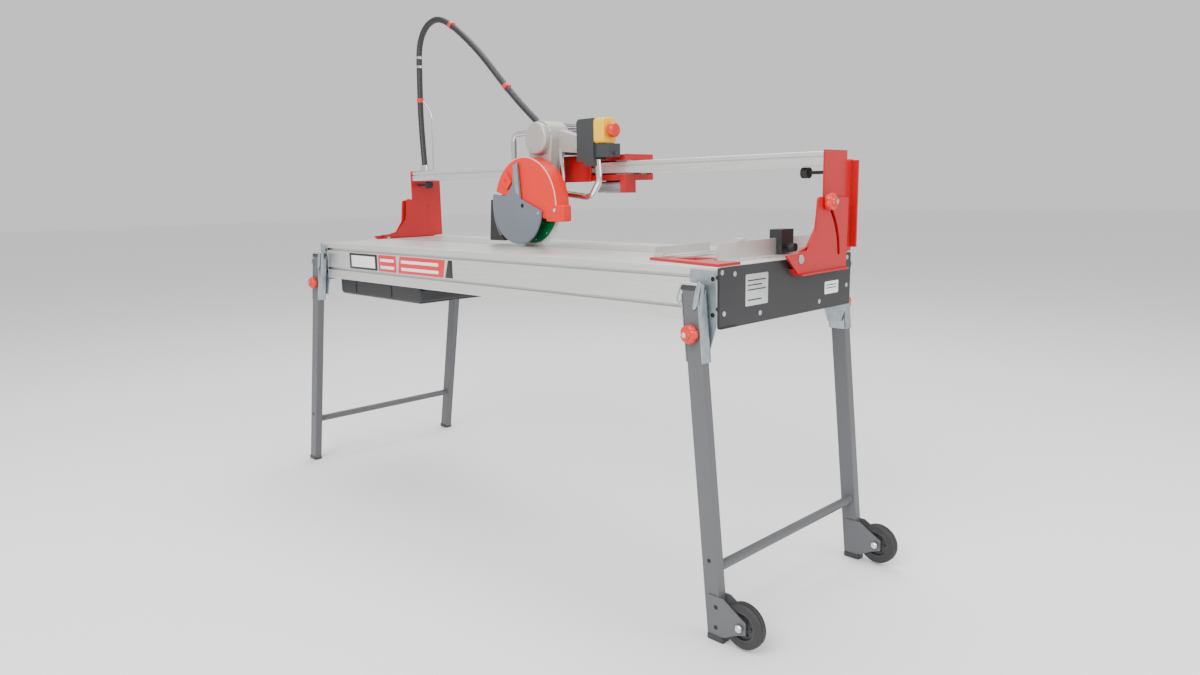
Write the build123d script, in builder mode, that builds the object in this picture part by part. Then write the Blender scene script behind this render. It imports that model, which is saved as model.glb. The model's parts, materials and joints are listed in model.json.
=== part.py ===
"""Rail tile cutter: a wet bridge saw whose head travels, plunges and tilts over a table on folding legs.

Frame: origin on the floor under the middle of the machine, +X towards the wheeled end, +Y towards
the back, +Z up. All lengths are in millimetres.
"""
import os
from math import atan2, cos, degrees, pi, radians, sin, tan

from build123d import *

# ---------------------------------------------------------------- driving dimensions
FRAME_L = 1728
FRAME_W = 525
TABLE_Z = 798
PROFILE_H = 119
PROFILE_D = 38
END_PLATE_T = 6
END_PLATE_H = 128
PLANK_T = 12
SLOT_W = 12

BLADE_R = 125
BLADE_T = 2.4
BLADE_X = -38
BLADE_Y = 5
BLADE_Z = 918
ARBOR_R = 10
MOTOR_X = -25
MOTOR_Z = 1112
MOTOR_R = 47

RAIL_Y0, RAIL_Y1 = 121, 214
RAIL_Z0, RAIL_Z1 = 1005, 1038
TILT_Y, TILT_Z = BLADE_Y, TABLE_Z
TILT_R = 167
TILT_REST = 47.9
TILT_RANGE = 45
PLUNGE_X, PLUNGE_Z = 105, 1088

LEG_Y = 287
LEG_W, LEG_D = 40, 25
LEG_TOP_Z = 760
PIVOT_Z = 664
RIGHT_PIVOT_X, RIGHT_FOOT_X = 822, 885
LEFT_PIVOT_X, LEFT_FOOT_X = -852, -980
CROSSBAR_R, CROSSBAR_Z = 11, 155
WHEEL_R, WHEEL_X, WHEEL_Z = 50, 952, 56

HOSE_R = 11
RUN_CLEARANCE = 0.05

HALF_L = FRAME_L / 2
HALF_W = FRAME_W / 2
PLATE_IN = HALF_L - END_PLATE_T
PROFILE_Z = TABLE_Z - PROFILE_H
INNER_Y = HALF_W - PROFILE_D
LEG_FACE = LEG_Y + LEG_D / 2
LEG_BACK = LEG_Y - LEG_D / 2


# ---------------------------------------------------------------- shared shapes
def block(x, y, z, mode=Mode.ADD):
    """A box from three (low, high) pairs."""
    middle = ((x[0] + x[1]) / 2, (y[0] + y[1]) / 2, (z[0] + z[1]) / 2)
    with Locations(middle):
        Box(x[1] - x[0], y[1] - y[0], z[1] - z[0], mode=mode)


def rod_x(y, z, r, x, mode=Mode.ADD):
    """A round bar along X."""
    with Locations(Location(((x[0] + x[1]) / 2, y, z), (0, 90, 0))):
        Cylinder(r, x[1] - x[0], mode=mode)


def rod_y(x, z, r, y, mode=Mode.ADD):
    """A round bar along Y."""
    with Locations(Location((x, (y[0] + y[1]) / 2, z), (90, 0, 0))):
        Cylinder(r, y[1] - y[0], mode=mode)


def rod_z(x, y, r, z, mode=Mode.ADD):
    """A round bar along Z."""
    with Locations((x, y, (z[0] + z[1]) / 2)):
        Cylinder(r, z[1] - z[0], mode=mode)


def prism_y(points, y, mode=Mode.ADD):
    """An (x, z) outline carried along Y."""
    with BuildSketch(Plane.XZ.offset(-y[1])) as outline:
        with BuildLine():
            Polyline(*points, close=True)
        make_face()
    extrude(outline.sketch, amount=y[1] - y[0], mode=mode)


def prism_x(points, x, mode=Mode.ADD):
    """A (y, z) outline carried along X."""
    with BuildSketch(Plane.YZ.offset(x[0])) as outline:
        with BuildLine():
            Polyline(*points, close=True)
        make_face()
    extrude(outline.sketch, amount=x[1] - x[0], mode=mode)


def hull_y(circles, y, mode=Mode.ADD):
    """The stretched loop round (x, z, r) circles, carried along Y."""
    with BuildSketch(Plane.XZ.offset(-y[1])) as outline:
        for x, z, r in circles:
            with Locations((x, z)):
                Circle(r)
        make_hull()
    extrude(outline.sketch, amount=y[1] - y[0], mode=mode)


def tube(points, radii, r, bore=0):
    """A round tube along straight runs joined by arcs."""
    with BuildLine() as path:
        FilletPolyline(*points, radius=radii)
    start = Plane(origin=path.wire() @ 0, z_dir=path.wire() % 0)
    with BuildSketch(start) as ring:
        Circle(r)
        if bore:
            Circle(bore, mode=Mode.SUBTRACT)
    sweep(ring.sketch, path=path.wire())


def on_circle(angle, r, centre=(BLADE_X, BLADE_Z)):
    """A point of a circle about the blade's axis, the angle in degrees from +X towards +Z."""
    return (centre[0] + r * cos(radians(angle)), centre[1] + r * sin(radians(angle)))


def save(node, label):
    """Names a finished piece and writes its file."""
    node.part.label = label
    export_step(node.part, f"parts/{label}.step")
    print(f"{label:22s} {len(node.part.solids()):3d} solids {node.part.volume / 1000:10.1f} cm3")


os.makedirs("parts", exist_ok=True)

# ---------------------------------------------------------------- frame: side profiles and end plates
GROOVE_ZS = (TABLE_Z - 0.17 * PROFILE_H, TABLE_Z - 0.72 * PROFILE_H)
PROFILE_WALL = 3
for label, side in (("front_profile", -1), ("rear_profile", 1)):
    middle_y = side * (HALF_W - PROFILE_D / 2)
    with BuildPart() as profile:
        with BuildSketch(Plane.YZ.offset(-PLATE_IN)):
            with Locations((middle_y, TABLE_Z - PROFILE_H / 2)):
                RectangleRounded(PROFILE_D, PROFILE_H, 2)
            for z in GROOVE_ZS:
                with Locations((side * (HALF_W - 4), z)):
                    Rectangle(8, 8, mode=Mode.SUBTRACT)
                with Locations((side * (HALF_W - 7), z)):
                    Rectangle(4, 15, mode=Mode.SUBTRACT)
            with Locations((middle_y - side * 6, TABLE_Z - PROFILE_H / 2)):
                chamber = (PROFILE_D - 12 - 2 * PROFILE_WALL, PROFILE_H - 2 * PROFILE_WALL)
                Rectangle(*chamber, mode=Mode.SUBTRACT)
        extrude(amount=2 * PLATE_IN)
    save(profile, label)

for label, side in (("left_end_plate", -1), ("right_end_plate", 1)):
    with BuildPart() as end_plate:
        with BuildSketch(Plane.YZ.offset(side * (PLATE_IN + END_PLATE_T / 2))):
            with Locations((0, TABLE_Z - END_PLATE_H / 2)):
                RectangleRounded(FRAME_W, END_PLATE_H, 5)
        extrude(amount=END_PLATE_T / 2, both=True)
    save(end_plate, label)

# ---------------------------------------------------------------- frame: table planks and cross members
PLANK_GAP = 0.8
SLOT_Y0, SLOT_Y1 = BLADE_Y - SLOT_W / 2, BLADE_Y + SLOT_W / 2
PLANKS_A_SIDE = 3
PLANK_WALL = 3
with BuildPart() as table_planks:
    for low, high in ((-INNER_Y, SLOT_Y0), (SLOT_Y1, INNER_Y)):
        pitch = (high - low) / PLANKS_A_SIDE
        for i in range(PLANKS_A_SIDE):
            y0 = low + i * pitch + PLANK_GAP / 2
            y1 = low + (i + 1) * pitch - PLANK_GAP / 2
            block((-PLATE_IN, PLATE_IN), (y0, y1), (TABLE_Z - PLANK_T, TABLE_Z))
            core = (TABLE_Z - PLANK_T + PLANK_WALL, TABLE_Z - PLANK_WALL)
            block((-PLATE_IN, PLATE_IN), (y0 + PLANK_WALL, y1 - PLANK_WALL), core, Mode.SUBTRACT)
            mid = (y0 + y1) / 2
            for dy in (-16, 16):
                line_y = (mid + dy - 1, mid + dy + 1)
                block((-PLATE_IN, PLATE_IN), line_y, (TABLE_Z - 1, TABLE_Z), Mode.SUBTRACT)
save(table_planks, "table_planks")

MEMBER_W, MEMBER_H = 40, 25
with BuildPart() as cross_members:
    for x in (-838, -560, -180, 200, 560, 838):
        x_span = (x - MEMBER_W / 2, x + MEMBER_W / 2)
        block(x_span, (-INNER_Y, INNER_Y), (TABLE_Z - PLANK_T - MEMBER_H, TABLE_Z - PLANK_T))
        inner = (x - MEMBER_W / 2 + 3, x + MEMBER_W / 2 - 3)
        hollow_z = (TABLE_Z - PLANK_T - MEMBER_H, TABLE_Z - PLANK_T - 3)
        block(inner, (-INNER_Y, INNER_Y), hollow_z, Mode.SUBTRACT)
save(cross_members, "cross_members")

# ---------------------------------------------------------------- frame: water system
BASIN_X0, BASIN_X1, BASIN_Y = -340, 850, 215
TANK_X0, TANK_X1, TANK_Z0, TANK_Z1 = -815, -312, 622, 742
TANK_WALL = 3
with BuildPart() as water_basin:
    prism_y(
        [(BASIN_X0, 667), (BASIN_X1, 700), (BASIN_X1, TANK_Z1), (BASIN_X0, TANK_Z1)],
        (-BASIN_Y, BASIN_Y),
    )
    prism_y(
        [(BASIN_X0 - 1, 669.5), (BASIN_X1 - 2.5, 702.5), (BASIN_X1 - 2.5, 760), (BASIN_X0 - 1, 760)],
        (-BASIN_Y + 2.5, BASIN_Y - 2.5),
        Mode.SUBTRACT,
    )
    for side in (-1, 1):
        rim = sorted((side * (BASIN_Y - 1), side * INNER_Y))
        block((-305, BASIN_X1), rim, (TANK_Z1 - 3, TANK_Z1))
save(water_basin, "water_basin")

with BuildPart() as water_tank:
    block((TANK_X0, TANK_X1), (-INNER_Y, INNER_Y), (TANK_Z0, TANK_Z1))
    lower_corners = water_tank.edges().filter_by(Axis.Y).group_by(Axis.Z)[0]
    fillet(lower_corners, radius=14)
    lower_rims = water_tank.faces().sort_by(Axis.Z)[0].edges().filter_by(Axis.X)
    fillet(lower_rims, radius=8)
    block(
        (TANK_X0 + TANK_WALL, TANK_X1 - TANK_WALL),
        (-INNER_Y + TANK_WALL, INNER_Y - TANK_WALL),
        (TANK_Z0 + TANK_WALL, TANK_Z1 + 1),
        Mode.SUBTRACT,
    )
    inlet_y = (-INNER_Y + TANK_WALL, INNER_Y - TANK_WALL)
    block((TANK_X1 - 5, TANK_X1 + 1), inlet_y, (664, TANK_Z1 + 1), Mode.SUBTRACT)
    for x in (TANK_X0 + 112, TANK_X0 + 338):
        block((x - 7, x + 7), (-INNER_Y, -INNER_Y + 2), (TANK_Z0 + 9, PROFILE_Z), Mode.SUBTRACT)
save(water_tank, "water_tank")

PUMP_X = -600
with BuildPart() as water_pump:
    rod_z(PUMP_X, 0, 36, (TANK_Z0 + TANK_WALL, 692))
    fillet(water_pump.faces().sort_by(Axis.Z)[-1].edges(), radius=6)
    rod_z(PUMP_X, 0, 9, (690, 712))
    block((PUMP_X + 30, PUMP_X + 52), (-9, 9), (640, 656))
save(water_pump, "water_pump")

# ---------------------------------------------------------------- frame: leg brackets and pivot bolts
BRACKET_T = 3
PIVOT_R = 5
BOLT_END = 327
with BuildPart() as leg_brackets:
    for pivot_x, left, right in ((LEFT_PIVOT_X, 11, 34), (RIGHT_PIVOT_X, 34, 34)):
        for side in (-1, 1):
            y_span = sorted((side * HALF_W, side * (HALF_W + BRACKET_T)))
            outline = [
                (pivot_x - left, TABLE_Z - 6),
                (pivot_x - left, PROFILE_Z - 10),
                (pivot_x - min(left, 18), PIVOT_Z - 44),
                (pivot_x + 18, PIVOT_Z - 44),
                (pivot_x + right, PROFILE_Z - 10),
                (pivot_x + right, TABLE_Z - 6),
            ]
            prism_y(outline, y_span)
save(leg_brackets, "leg_brackets")

# ---------------------------------------------------------------- frame: fences on the table
FENCE_X = 776
FENCE_T = 5
FENCE_Y = (-160, 233)
FENCE_TOP = TABLE_Z + 42
with BuildPart() as side_fence:
    block((FENCE_X, FENCE_X + FENCE_T), FENCE_Y, (TABLE_Z, FENCE_TOP))
    block((FENCE_X + FENCE_T, FENCE_X + 24), FENCE_Y, (TABLE_Z, TABLE_Z + 3))
    block((FENCE_X - 14, FENCE_X), (-88, -66), (TABLE_Z, FENCE_TOP + 6))
    block((FENCE_X - 14, FENCE_X + 12), (-88, -66), (FENCE_TOP, FENCE_TOP + 6))
    block((FENCE_X - 4, FENCE_X), (-66, 40), (TABLE_Z + 2, TABLE_Z + 36))
save(side_fence, "side_fence")

MITRE_PIN = (626, -168)
MITRE_T = 6
MITRE_OUTLINE = [
    (606, -190), (850, -250), (850, -172), (768, -168), (768, -92), (690, -112), (606, -152),
]
with BuildPart() as mitre_plate:
    with BuildSketch(Plane.XY.offset(TABLE_Z)):
        with BuildLine():
            Polyline(*MITRE_OUTLINE, close=True)
        make_face()
        with BuildLine():
            Polyline((668, -176), (748, -196), (752, -130), (700, -136), close=True)
        make_face(mode=Mode.SUBTRACT)
    extrude(amount=MITRE_T)
    rod_z(MITRE_PIN[0], MITRE_PIN[1], 4, (TABLE_Z + MITRE_T - 1, TABLE_Z + MITRE_T + 8))
save(mitre_plate, "mitre_plate")

with BuildPart() as mitre_fence:
    floor_z = TABLE_Z + MITRE_T + 0.4
    block((612, 638), (-182, 22), (floor_z, floor_z + 3))
    block((612, 616), (-182, 22), (floor_z, floor_z + 23))
    block((612, 640), (-182, -177), (floor_z, floor_z + 10))
    rod_z(MITRE_PIN[0], MITRE_PIN[1], 4 + RUN_CLEARANCE, (floor_z - 1, floor_z + 12), Mode.SUBTRACT)
save(mitre_fence, "mitre_fence")

STOP_Y = (62, 112)
STOP_GAP = 0.4
with BuildPart() as length_stop:
    block((FENCE_X - 14, FENCE_X + 20), STOP_Y, (TABLE_Z + 6, FENCE_TOP + 20))
    groove_x = (FENCE_X - STOP_GAP, FENCE_X + FENCE_T + STOP_GAP)
    block(groove_x, (0, 200), (TABLE_Z, FENCE_TOP + STOP_GAP), Mode.SUBTRACT)
    rod_x(84, TABLE_Z + 20, 4, (FENCE_X + 20, FENCE_X + 32))
    rod_x(84, TABLE_Z + 20, 10, (FENCE_X + 30, FENCE_X + 44))
save(length_stop, "length_stop")

# ---------------------------------------------------------------- tilt: fixed brackets and moving uprights
UPRIGHT_X0, UPRIGHT_T = 868, 6
BRACKET_X0, TILT_PLATE_T = 877, 5
TILT_BOLT_R = 6
TILT_STUD_R = 5
SLOT_HALF = 5.5


def mirrored(span, side):
    """A span of X on the right-hand end, or its mirror image on the left."""
    return tuple(sorted((side * span[0], side * span[1])))


TILT_OUTLINE = [
    (-48, 808), (7, 760), (208, 762), (212, 931), (79, 935), (71, 858), (41, 816),
]
SPACER_OUTLINE = [(-48, 808), (-27, 806), (-14, 777), (2, 771.5), (14, 764.5), (14, 760), (7, 760)]
for label, side in (("left_tilt_bracket", -1), ("right_tilt_bracket", 1)):
    with BuildPart() as tilt_bracket:
        prism_x(TILT_OUTLINE, mirrored((BRACKET_X0, BRACKET_X0 + TILT_PLATE_T), side))
        upright_edges = tilt_bracket.edges().filter_by(Axis.X)
        fillet(upright_edges.sort_by(Axis.Z)[-2:], radius=8)
        prism_x(SPACER_OUTLINE, mirrored((HALF_L, BRACKET_X0), side))
        prism_x([(7, 760), (208, 762), (208, 766), (7, 764)], mirrored((BRACKET_X0, BRACKET_X0 + 13), side))
        with BuildSketch(Plane.YZ.offset(side * (BRACKET_X0 - 1))) as slot:
            with BuildLine() as slot_line:
                CenterArc((TILT_Y, TILT_Z), TILT_R, TILT_REST - TILT_RANGE - 1.2, TILT_RANGE + 2.4)
            SlotArc(slot_line.edge(), height=2 * SLOT_HALF)
        extrude(slot.sketch, amount=side * (TILT_PLATE_T + 3), mode=Mode.SUBTRACT)
    save(tilt_bracket, label)

with BuildPart() as frame_bolts:
    for side in (-1, 1):
        rod_x(TILT_Y, TILT_Z, TILT_BOLT_R, mirrored((HALF_L + 1.5, BRACKET_X0), side))
        rod_x(TILT_Y, TILT_Z, 10, mirrored((BRACKET_X0 + TILT_PLATE_T, BRACKET_X0 + TILT_PLATE_T + 5), side))
        for y, z in ((-248, 702), (-255, 788), (-212, 782), (243, 718), (243, 786), (-120, 690), (120, 690)):
            rod_x(y, z, 5.5, mirrored((HALF_L, HALF_L + 1.2), side))
    for pivot_x in (LEFT_PIVOT_X, RIGHT_PIVOT_X):
        for side in (-1, 1):
            rod_y(pivot_x, PIVOT_Z, PIVOT_R, sorted((side * (HALF_W + BRACKET_T), side * BOLT_END)))
save(frame_bolts, "frame_bolts")

UPRIGHT_OUTLINE = [
    (117, 1041), (117, 925), (92, 908), (84, 864), (50, 824), (-12, 808), (-15, 790), (5, 776),
    (60, 786), (242, 803), (242, 1020), (214, 1020), (214, 1041),
]
COVER_T = 2.5
COVER_OUTLINE = [(24, 801), (172, 801), (178, 937), (88, 937), (82, 866), (62, 840)]
STUD_Y = TILT_Y + TILT_R * cos(radians(TILT_REST))
STUD_Z = TILT_Z + TILT_R * sin(radians(TILT_REST))
STUD_END = 906
for label, side in (("left_upright", -1), ("right_upright", 1)):
    with BuildPart() as upright:
        prism_x(UPRIGHT_OUTLINE, mirrored((UPRIGHT_X0, UPRIGHT_X0 + UPRIGHT_T), side))
        block(mirrored((UPRIGHT_X0 + UPRIGHT_T, 890), side), (237, 242), (812, 1018))
        rod_x(TILT_Y, TILT_Z, TILT_BOLT_R + RUN_CLEARANCE, mirrored((860, 880), side), Mode.SUBTRACT)
        rod_x(STUD_Y, STUD_Z, TILT_STUD_R, mirrored((UPRIGHT_X0 + 1, STUD_END), side))
        if side < 0:
            prism_x(COVER_OUTLINE, (-UPRIGHT_X0, -UPRIGHT_X0 + COVER_T))
    save(upright, label)

with BuildPart() as guide_rail:
    middle = ((RAIL_Y0 + RAIL_Y1) / 2, (RAIL_Z0 + RAIL_Z1) / 2)
    with BuildSketch(Plane.YZ.offset(-UPRIGHT_X0)):
        with Locations(middle):
            RectangleRounded(RAIL_Y1 - RAIL_Y0, RAIL_Z1 - RAIL_Z0, 2.5)
            Rectangle(RAIL_Y1 - RAIL_Y0 - 22, RAIL_Z1 - RAIL_Z0 - 7, mode=Mode.SUBTRACT)
        for y in (RAIL_Y0 + 2, RAIL_Y1 - 2):
            with Locations((y, RAIL_Z1 - 12)):
                Rectangle(5, 4, mode=Mode.SUBTRACT)
    extrude(amount=2 * UPRIGHT_X0)
save(guide_rail, "guide_rail")

BUFFER_Y, BUFFER_Z = 150, 990
with BuildPart() as rail_buffers:
    for side in (-1, 1):
        rod_x(BUFFER_Y, BUFFER_Z, 4, mirrored((812, UPRIGHT_X0), side))
        rod_x(BUFFER_Y, BUFFER_Z, 13, mirrored((794, 812), side))
save(rail_buffers, "rail_buffers")

# ---------------------------------------------------------------- bridge: conduit hose and its supports
HOSE_Y = 167
GLAND = (-112, HOSE_Y, 1119)
LAST_BEND = (-222, HOSE_Y, 1196)
GLAND_SLOPE = degrees(atan2(LAST_BEND[2] - GLAND[2], GLAND[0] - LAST_BEND[0]))
HOSE_ROUTE = [
    (-850, HOSE_Y, 1062),
    (-862, HOSE_Y, 1215),
    (-853, HOSE_Y, 1388),
    (-849, HOSE_Y, 1480),
    (-817, HOSE_Y, 1537),
    (-762, HOSE_Y, 1566),
    (-697, HOSE_Y, 1565),
    (-610, HOSE_Y, 1519),
    (-480, HOSE_Y, 1424),
    (-350, HOSE_Y, 1302),
    LAST_BEND,
    GLAND,
]


def arc_radii(points):
    """The largest radius that each corner of a route allows: 0.45 of its shorter run."""
    radii = []
    for before, corner, after in zip(points, points[1:], points[2:]):
        into = Vector(*corner) - Vector(*before)
        out = Vector(*after) - Vector(*corner)
        half_turn = radians(into.get_angle(out)) / 2
        radii.append(0.45 * min(into.length, out.length) / tan(half_turn))
    return radii


hose_radii = arc_radii(HOSE_ROUTE)
with BuildPart() as hose:
    tube(HOSE_ROUTE, hose_radii, HOSE_R)
save(hose, "conduit_hose")
with BuildLine() as hose_line:
    FilletPolyline(*HOSE_ROUTE, radius=hose_radii)
hose_length = hose_line.wire().length
section = pi * HOSE_R**2
print("hose radii", [round(r) for r in hose_radii])
print(f"hose length {hose_length:.0f}, volume/section*length {hose.part.volume / (section * hose_length):.4f}")

with BuildPart() as hose_support:
    socket_plane = Plane(origin=HOSE_ROUTE[0], z_dir=Vector(*HOSE_ROUTE[0]) - Vector(*HOSE_ROUTE[1]))
    with BuildSketch(socket_plane):
        Circle(16)
    extrude(amount=22)
    block((-868, -832), (HOSE_Y - 18, HOSE_Y + 18), (RAIL_Z1, RAIL_Z1 + 6))
    rod_z(-794, HOSE_Y, 8, (RAIL_Z1, RAIL_Z1 + 8))
    stay = [(-794, HOSE_Y, RAIL_Z1 + 4), (-786, HOSE_Y, 1240), (-840, HOSE_Y, 1296)]
    tube(stay, [30], 2.5)
    split(bisect_by=Plane.XY.offset(RAIL_Z1), keep=Keep.TOP)
save(hose_support, "hose_support")

# ---------------------------------------------------------------- carriage on the rail
CAR_X0, CAR_X1 = -13, 242
CAR_Y0, CAR_Y1 = 112, 230
CAR_TOP, CAR_BOTTOM = 1058, 985
with BuildPart() as carriage_body:
    block((CAR_X0, CAR_X1), (CAR_Y0, CAR_Y1), (CAR_BOTTOM, CAR_TOP))
    fillet(carriage_body.edges().filter_by(Axis.X), radius=4)
    block((CAR_X0 - 1, CAR_X1 + 1), (CAR_Y0 - 1, CAR_Y1 - 8), (1002, 1041), Mode.SUBTRACT)
    block((PLUNGE_X - 24, PLUNGE_X + 24), (CAR_Y0, 186), (CAR_TOP - 2, PLUNGE_Z))
    rod_y(PLUNGE_X, PLUNGE_Z, 24, (CAR_Y0, 186))
    block((222, CAR_X1), (CAR_Y0, 150), (950, CAR_BOTTOM + 2))
    block((128, CAR_X1), (150, 156), (950, CAR_BOTTOM + 2))
    rod_y(PLUNGE_X, PLUNGE_Z, 9, (CAR_Y0 - 1, 187), Mode.SUBTRACT)
save(carriage_body, "carriage_body")

with BuildPart() as carriage_front_plate:
    block((CAR_X0, 110), (104, CAR_Y0), (CAR_BOTTOM - 2, CAR_TOP + 2))
    fillet(carriage_front_plate.edges().filter_by(Axis.Y), radius=5)
    fillet(carriage_front_plate.faces().sort_by(Axis.Y)[0].edges(), radius=2)
save(carriage_front_plate, "carriage_front_plate")

PAD_GAP = 0.3
with BuildPart() as glide_shoes:
    for x in ((CAR_X0 + 6, 44), (192, CAR_X1 - 6)):
        for y in ((128, 152), (184, 208)):
            block(x, y, (RAIL_Z1 + PAD_GAP, 1041))
            block(x, y, (1002, RAIL_Z0 - PAD_GAP))
        block(x, (RAIL_Y1 + PAD_GAP, CAR_Y1 - 8), (1010, 1033))
    block((CAR_X0 + 6, 104), (CAR_Y0, RAIL_Y0 - PAD_GAP), (1010, 1022))
save(glide_shoes, "glide_shoes")

with BuildPart() as spring_cylinder:
    rod_x(131, 967, 16, (114, 222))
    fillet(spring_cylinder.faces().sort_by(Axis.X)[0].edges(), radius=4)
save(spring_cylinder, "spring_cylinder")

BRACKET_STRIP = 3
with BuildPart() as hose_bracket:
    axis_dir = Vector(-cos(radians(GLAND_SLOPE)), 0, sin(radians(GLAND_SLOPE)))
    tab_dir = Vector(sin(radians(GLAND_SLOPE)), 0, cos(radians(GLAND_SLOPE)))
    seat = Vector(*GLAND) - axis_dir * 26
    low = seat - tab_dir * ((seat.Z - CAR_TOP - 1) / tab_dir.Z)
    high = seat + tab_dir * 20
    back = axis_dir * -BRACKET_STRIP
    tab = [(low.X, low.Z), (high.X, high.Z), (high.X + back.X, high.Z + back.Z), (low.X + 5, low.Z)]
    prism_y(tab, (HOSE_Y - 18, HOSE_Y + 18))
    block((low.X, 30), (HOSE_Y - 18, HOSE_Y + 18), (CAR_TOP, CAR_TOP + BRACKET_STRIP))
save(hose_bracket, "hose_bracket")

with BuildPart() as hose_gland:
    with BuildSketch(Plane(origin=seat, z_dir=axis_dir)):
        Circle(15)
    extrude(amount=26)
save(hose_gland, "hose_gland")

with BuildPart() as plunge_pin:
    rod_y(PLUNGE_X, PLUNGE_Z, 9, (58, 190))
    rod_y(PLUNGE_X, PLUNGE_Z, 14, (52, 58))
    fillet(plunge_pin.faces().sort_by(Axis.Y)[0].edges(), radius=2)
save(plunge_pin, "plunge_pin")

# ---------------------------------------------------------------- head: belt case, motor and switches
CASE_Y0, CASE_STEP_Y, CASE_Y1 = 36, 82, 98
MOTOR_CASE_R, SPINDLE_CASE_R = 52, 40
CASE_WALL = 5
BEARING_R = 17
BIG_PULLEY_R, SMALL_PULLEY_R = 28, 24.5
GROOVE_Y = (52, 64)
with BuildPart() as drive_case:
    hull_y([(MOTOR_X, MOTOR_Z, MOTOR_CASE_R), (BLADE_X, BLADE_Z, SPINDLE_CASE_R)], (CASE_Y0, CASE_STEP_Y))
    rod_y(MOTOR_X, MOTOR_Z, MOTOR_CASE_R, (CASE_STEP_Y - 1, CASE_Y1))
    hull_y([(MOTOR_X, MOTOR_Z, 36), (PLUNGE_X, PLUNGE_Z, 22)], (60, CASE_Y1))
    cavity = [
        (MOTOR_X, MOTOR_Z, MOTOR_CASE_R - CASE_WALL),
        (BLADE_X, BLADE_Z, SPINDLE_CASE_R - CASE_WALL),
    ]
    hull_y(cavity, (CASE_Y0 - 1, 70), Mode.SUBTRACT)
    for x, z in ((MOTOR_X, MOTOR_Z), (BLADE_X, BLADE_Z)):
        rod_y(x, z, BEARING_R, (69, CASE_Y1 + 1), Mode.SUBTRACT)
    rod_y(PLUNGE_X, PLUNGE_Z, 9 + RUN_CLEARANCE, (50, CASE_Y1 + 1), Mode.SUBTRACT)
save(drive_case, "drive_case")

with BuildPart() as drive_cover:
    hull_y([(MOTOR_X, MOTOR_Z, MOTOR_CASE_R), (BLADE_X, BLADE_Z, SPINDLE_CASE_R)], (29, CASE_Y0))
    fillet(drive_cover.faces().sort_by(Axis.Y)[0].edges(), radius=3)
    rod_y(BLADE_X, BLADE_Z, 14, (20, CASE_Y0 + 1), Mode.SUBTRACT)
    rod_y(MOTOR_X, MOTOR_Z, MOTOR_R, (9, 31))
    fillet(drive_cover.faces().sort_by(Axis.Y)[0].edges(), radius=7)
save(drive_cover, "drive_cover")

FIN_COUNT = 24
with BuildPart() as motor_housing:
    rod_y(MOTOR_X, MOTOR_Z, MOTOR_R - 4, (CASE_Y1, 250))
    with Locations(Location((MOTOR_X, 176, MOTOR_Z), (90, 0, 0))):
        with PolarLocations(MOTOR_R - 4, FIN_COUNT):
            Box(8, 3, 140)
    rod_y(MOTOR_X, MOTOR_Z, MOTOR_R, (CASE_Y1, CASE_Y1 + 10))
    rod_y(MOTOR_X, MOTOR_Z, 37, (CASE_Y1 - 1, 251), Mode.SUBTRACT)
save(motor_housing, "motor_housing")

with BuildPart() as motor_rear_cover:
    rod_y(MOTOR_X, MOTOR_Z, MOTOR_R, (250, 276))
    fillet(motor_rear_cover.faces().sort_by(Axis.Y)[-1].edges(), radius=8)
    rod_y(MOTOR_X, MOTOR_Z, MOTOR_R - 5, (249, 268), Mode.SUBTRACT)
save(motor_rear_cover, "motor_rear_cover")

with BuildPart() as bearings:
    for x, z, y in ((MOTOR_X, MOTOR_Z, (82, 96)), (BLADE_X, BLADE_Z, (71, 81))):
        rod_y(x, z, BEARING_R, y)
        rod_y(x, z, ARBOR_R + RUN_CLEARANCE, (y[0] - 1, y[1] + 1), Mode.SUBTRACT)
    rod_y(BLADE_X, BLADE_Z, 14, (30, CASE_Y0))
    rod_y(BLADE_X, BLADE_Z, ARBOR_R + RUN_CLEARANCE, (29, CASE_Y0 + 1), Mode.SUBTRACT)
save(bearings, "bearings")

BELT_T = 3
BELT_GAP = 0.3
BELT_Y = (GROOVE_Y[0] + 0.5, GROOVE_Y[1] - 0.5)
with BuildPart() as drive_belt:
    for grow, mode in ((BELT_T, Mode.ADD), (0, Mode.SUBTRACT)):
        loop = [
            (MOTOR_X, MOTOR_Z, SMALL_PULLEY_R + BELT_GAP + grow),
            (BLADE_X, BLADE_Z, BIG_PULLEY_R + BELT_GAP + grow),
        ]
        hull_y(loop, BELT_Y, mode)
save(drive_belt, "drive_belt")

BRACKET_Y = (46, 50)
with BuildPart() as switch_bracket:
    outline = [
        (116, 1040), (116, 1150), (124, 1157), (178, 1157), (184, 1150), (184, 1026), (146, 1026), (146, 1040),
    ]
    prism_y(outline, BRACKET_Y)
    block((178, 184), (BRACKET_Y[0], 98), (1044, 1157))
    block((120, 184), (BRACKET_Y[0], 98), (1118, 1122))
    block((184, 238), (52, 98), (1050, 1086))
    rod_x(75, 1060, 5, (236, 246))
save(switch_bracket, "switch_bracket")

with BuildPart() as stop_housing:
    block((184, 222), (48, 100), (1087, 1157))
    fillet(stop_housing.edges().filter_by(Axis.X), radius=12)
    fillet(stop_housing.faces().sort_by(Axis.X)[-1].edges(), radius=3)
    rod_x(74, 1122, 12.5, (205, 223), Mode.SUBTRACT)
save(stop_housing, "stop_housing")

with BuildPart() as stop_button:
    rod_x(74, 1122, 12, (212, 232))
    rod_x(74, 1122, 20, (231, 247))
    fillet(stop_button.faces().sort_by(Axis.X)[-1].edges(), radius=7)
save(stop_button, "stop_button")

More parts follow.
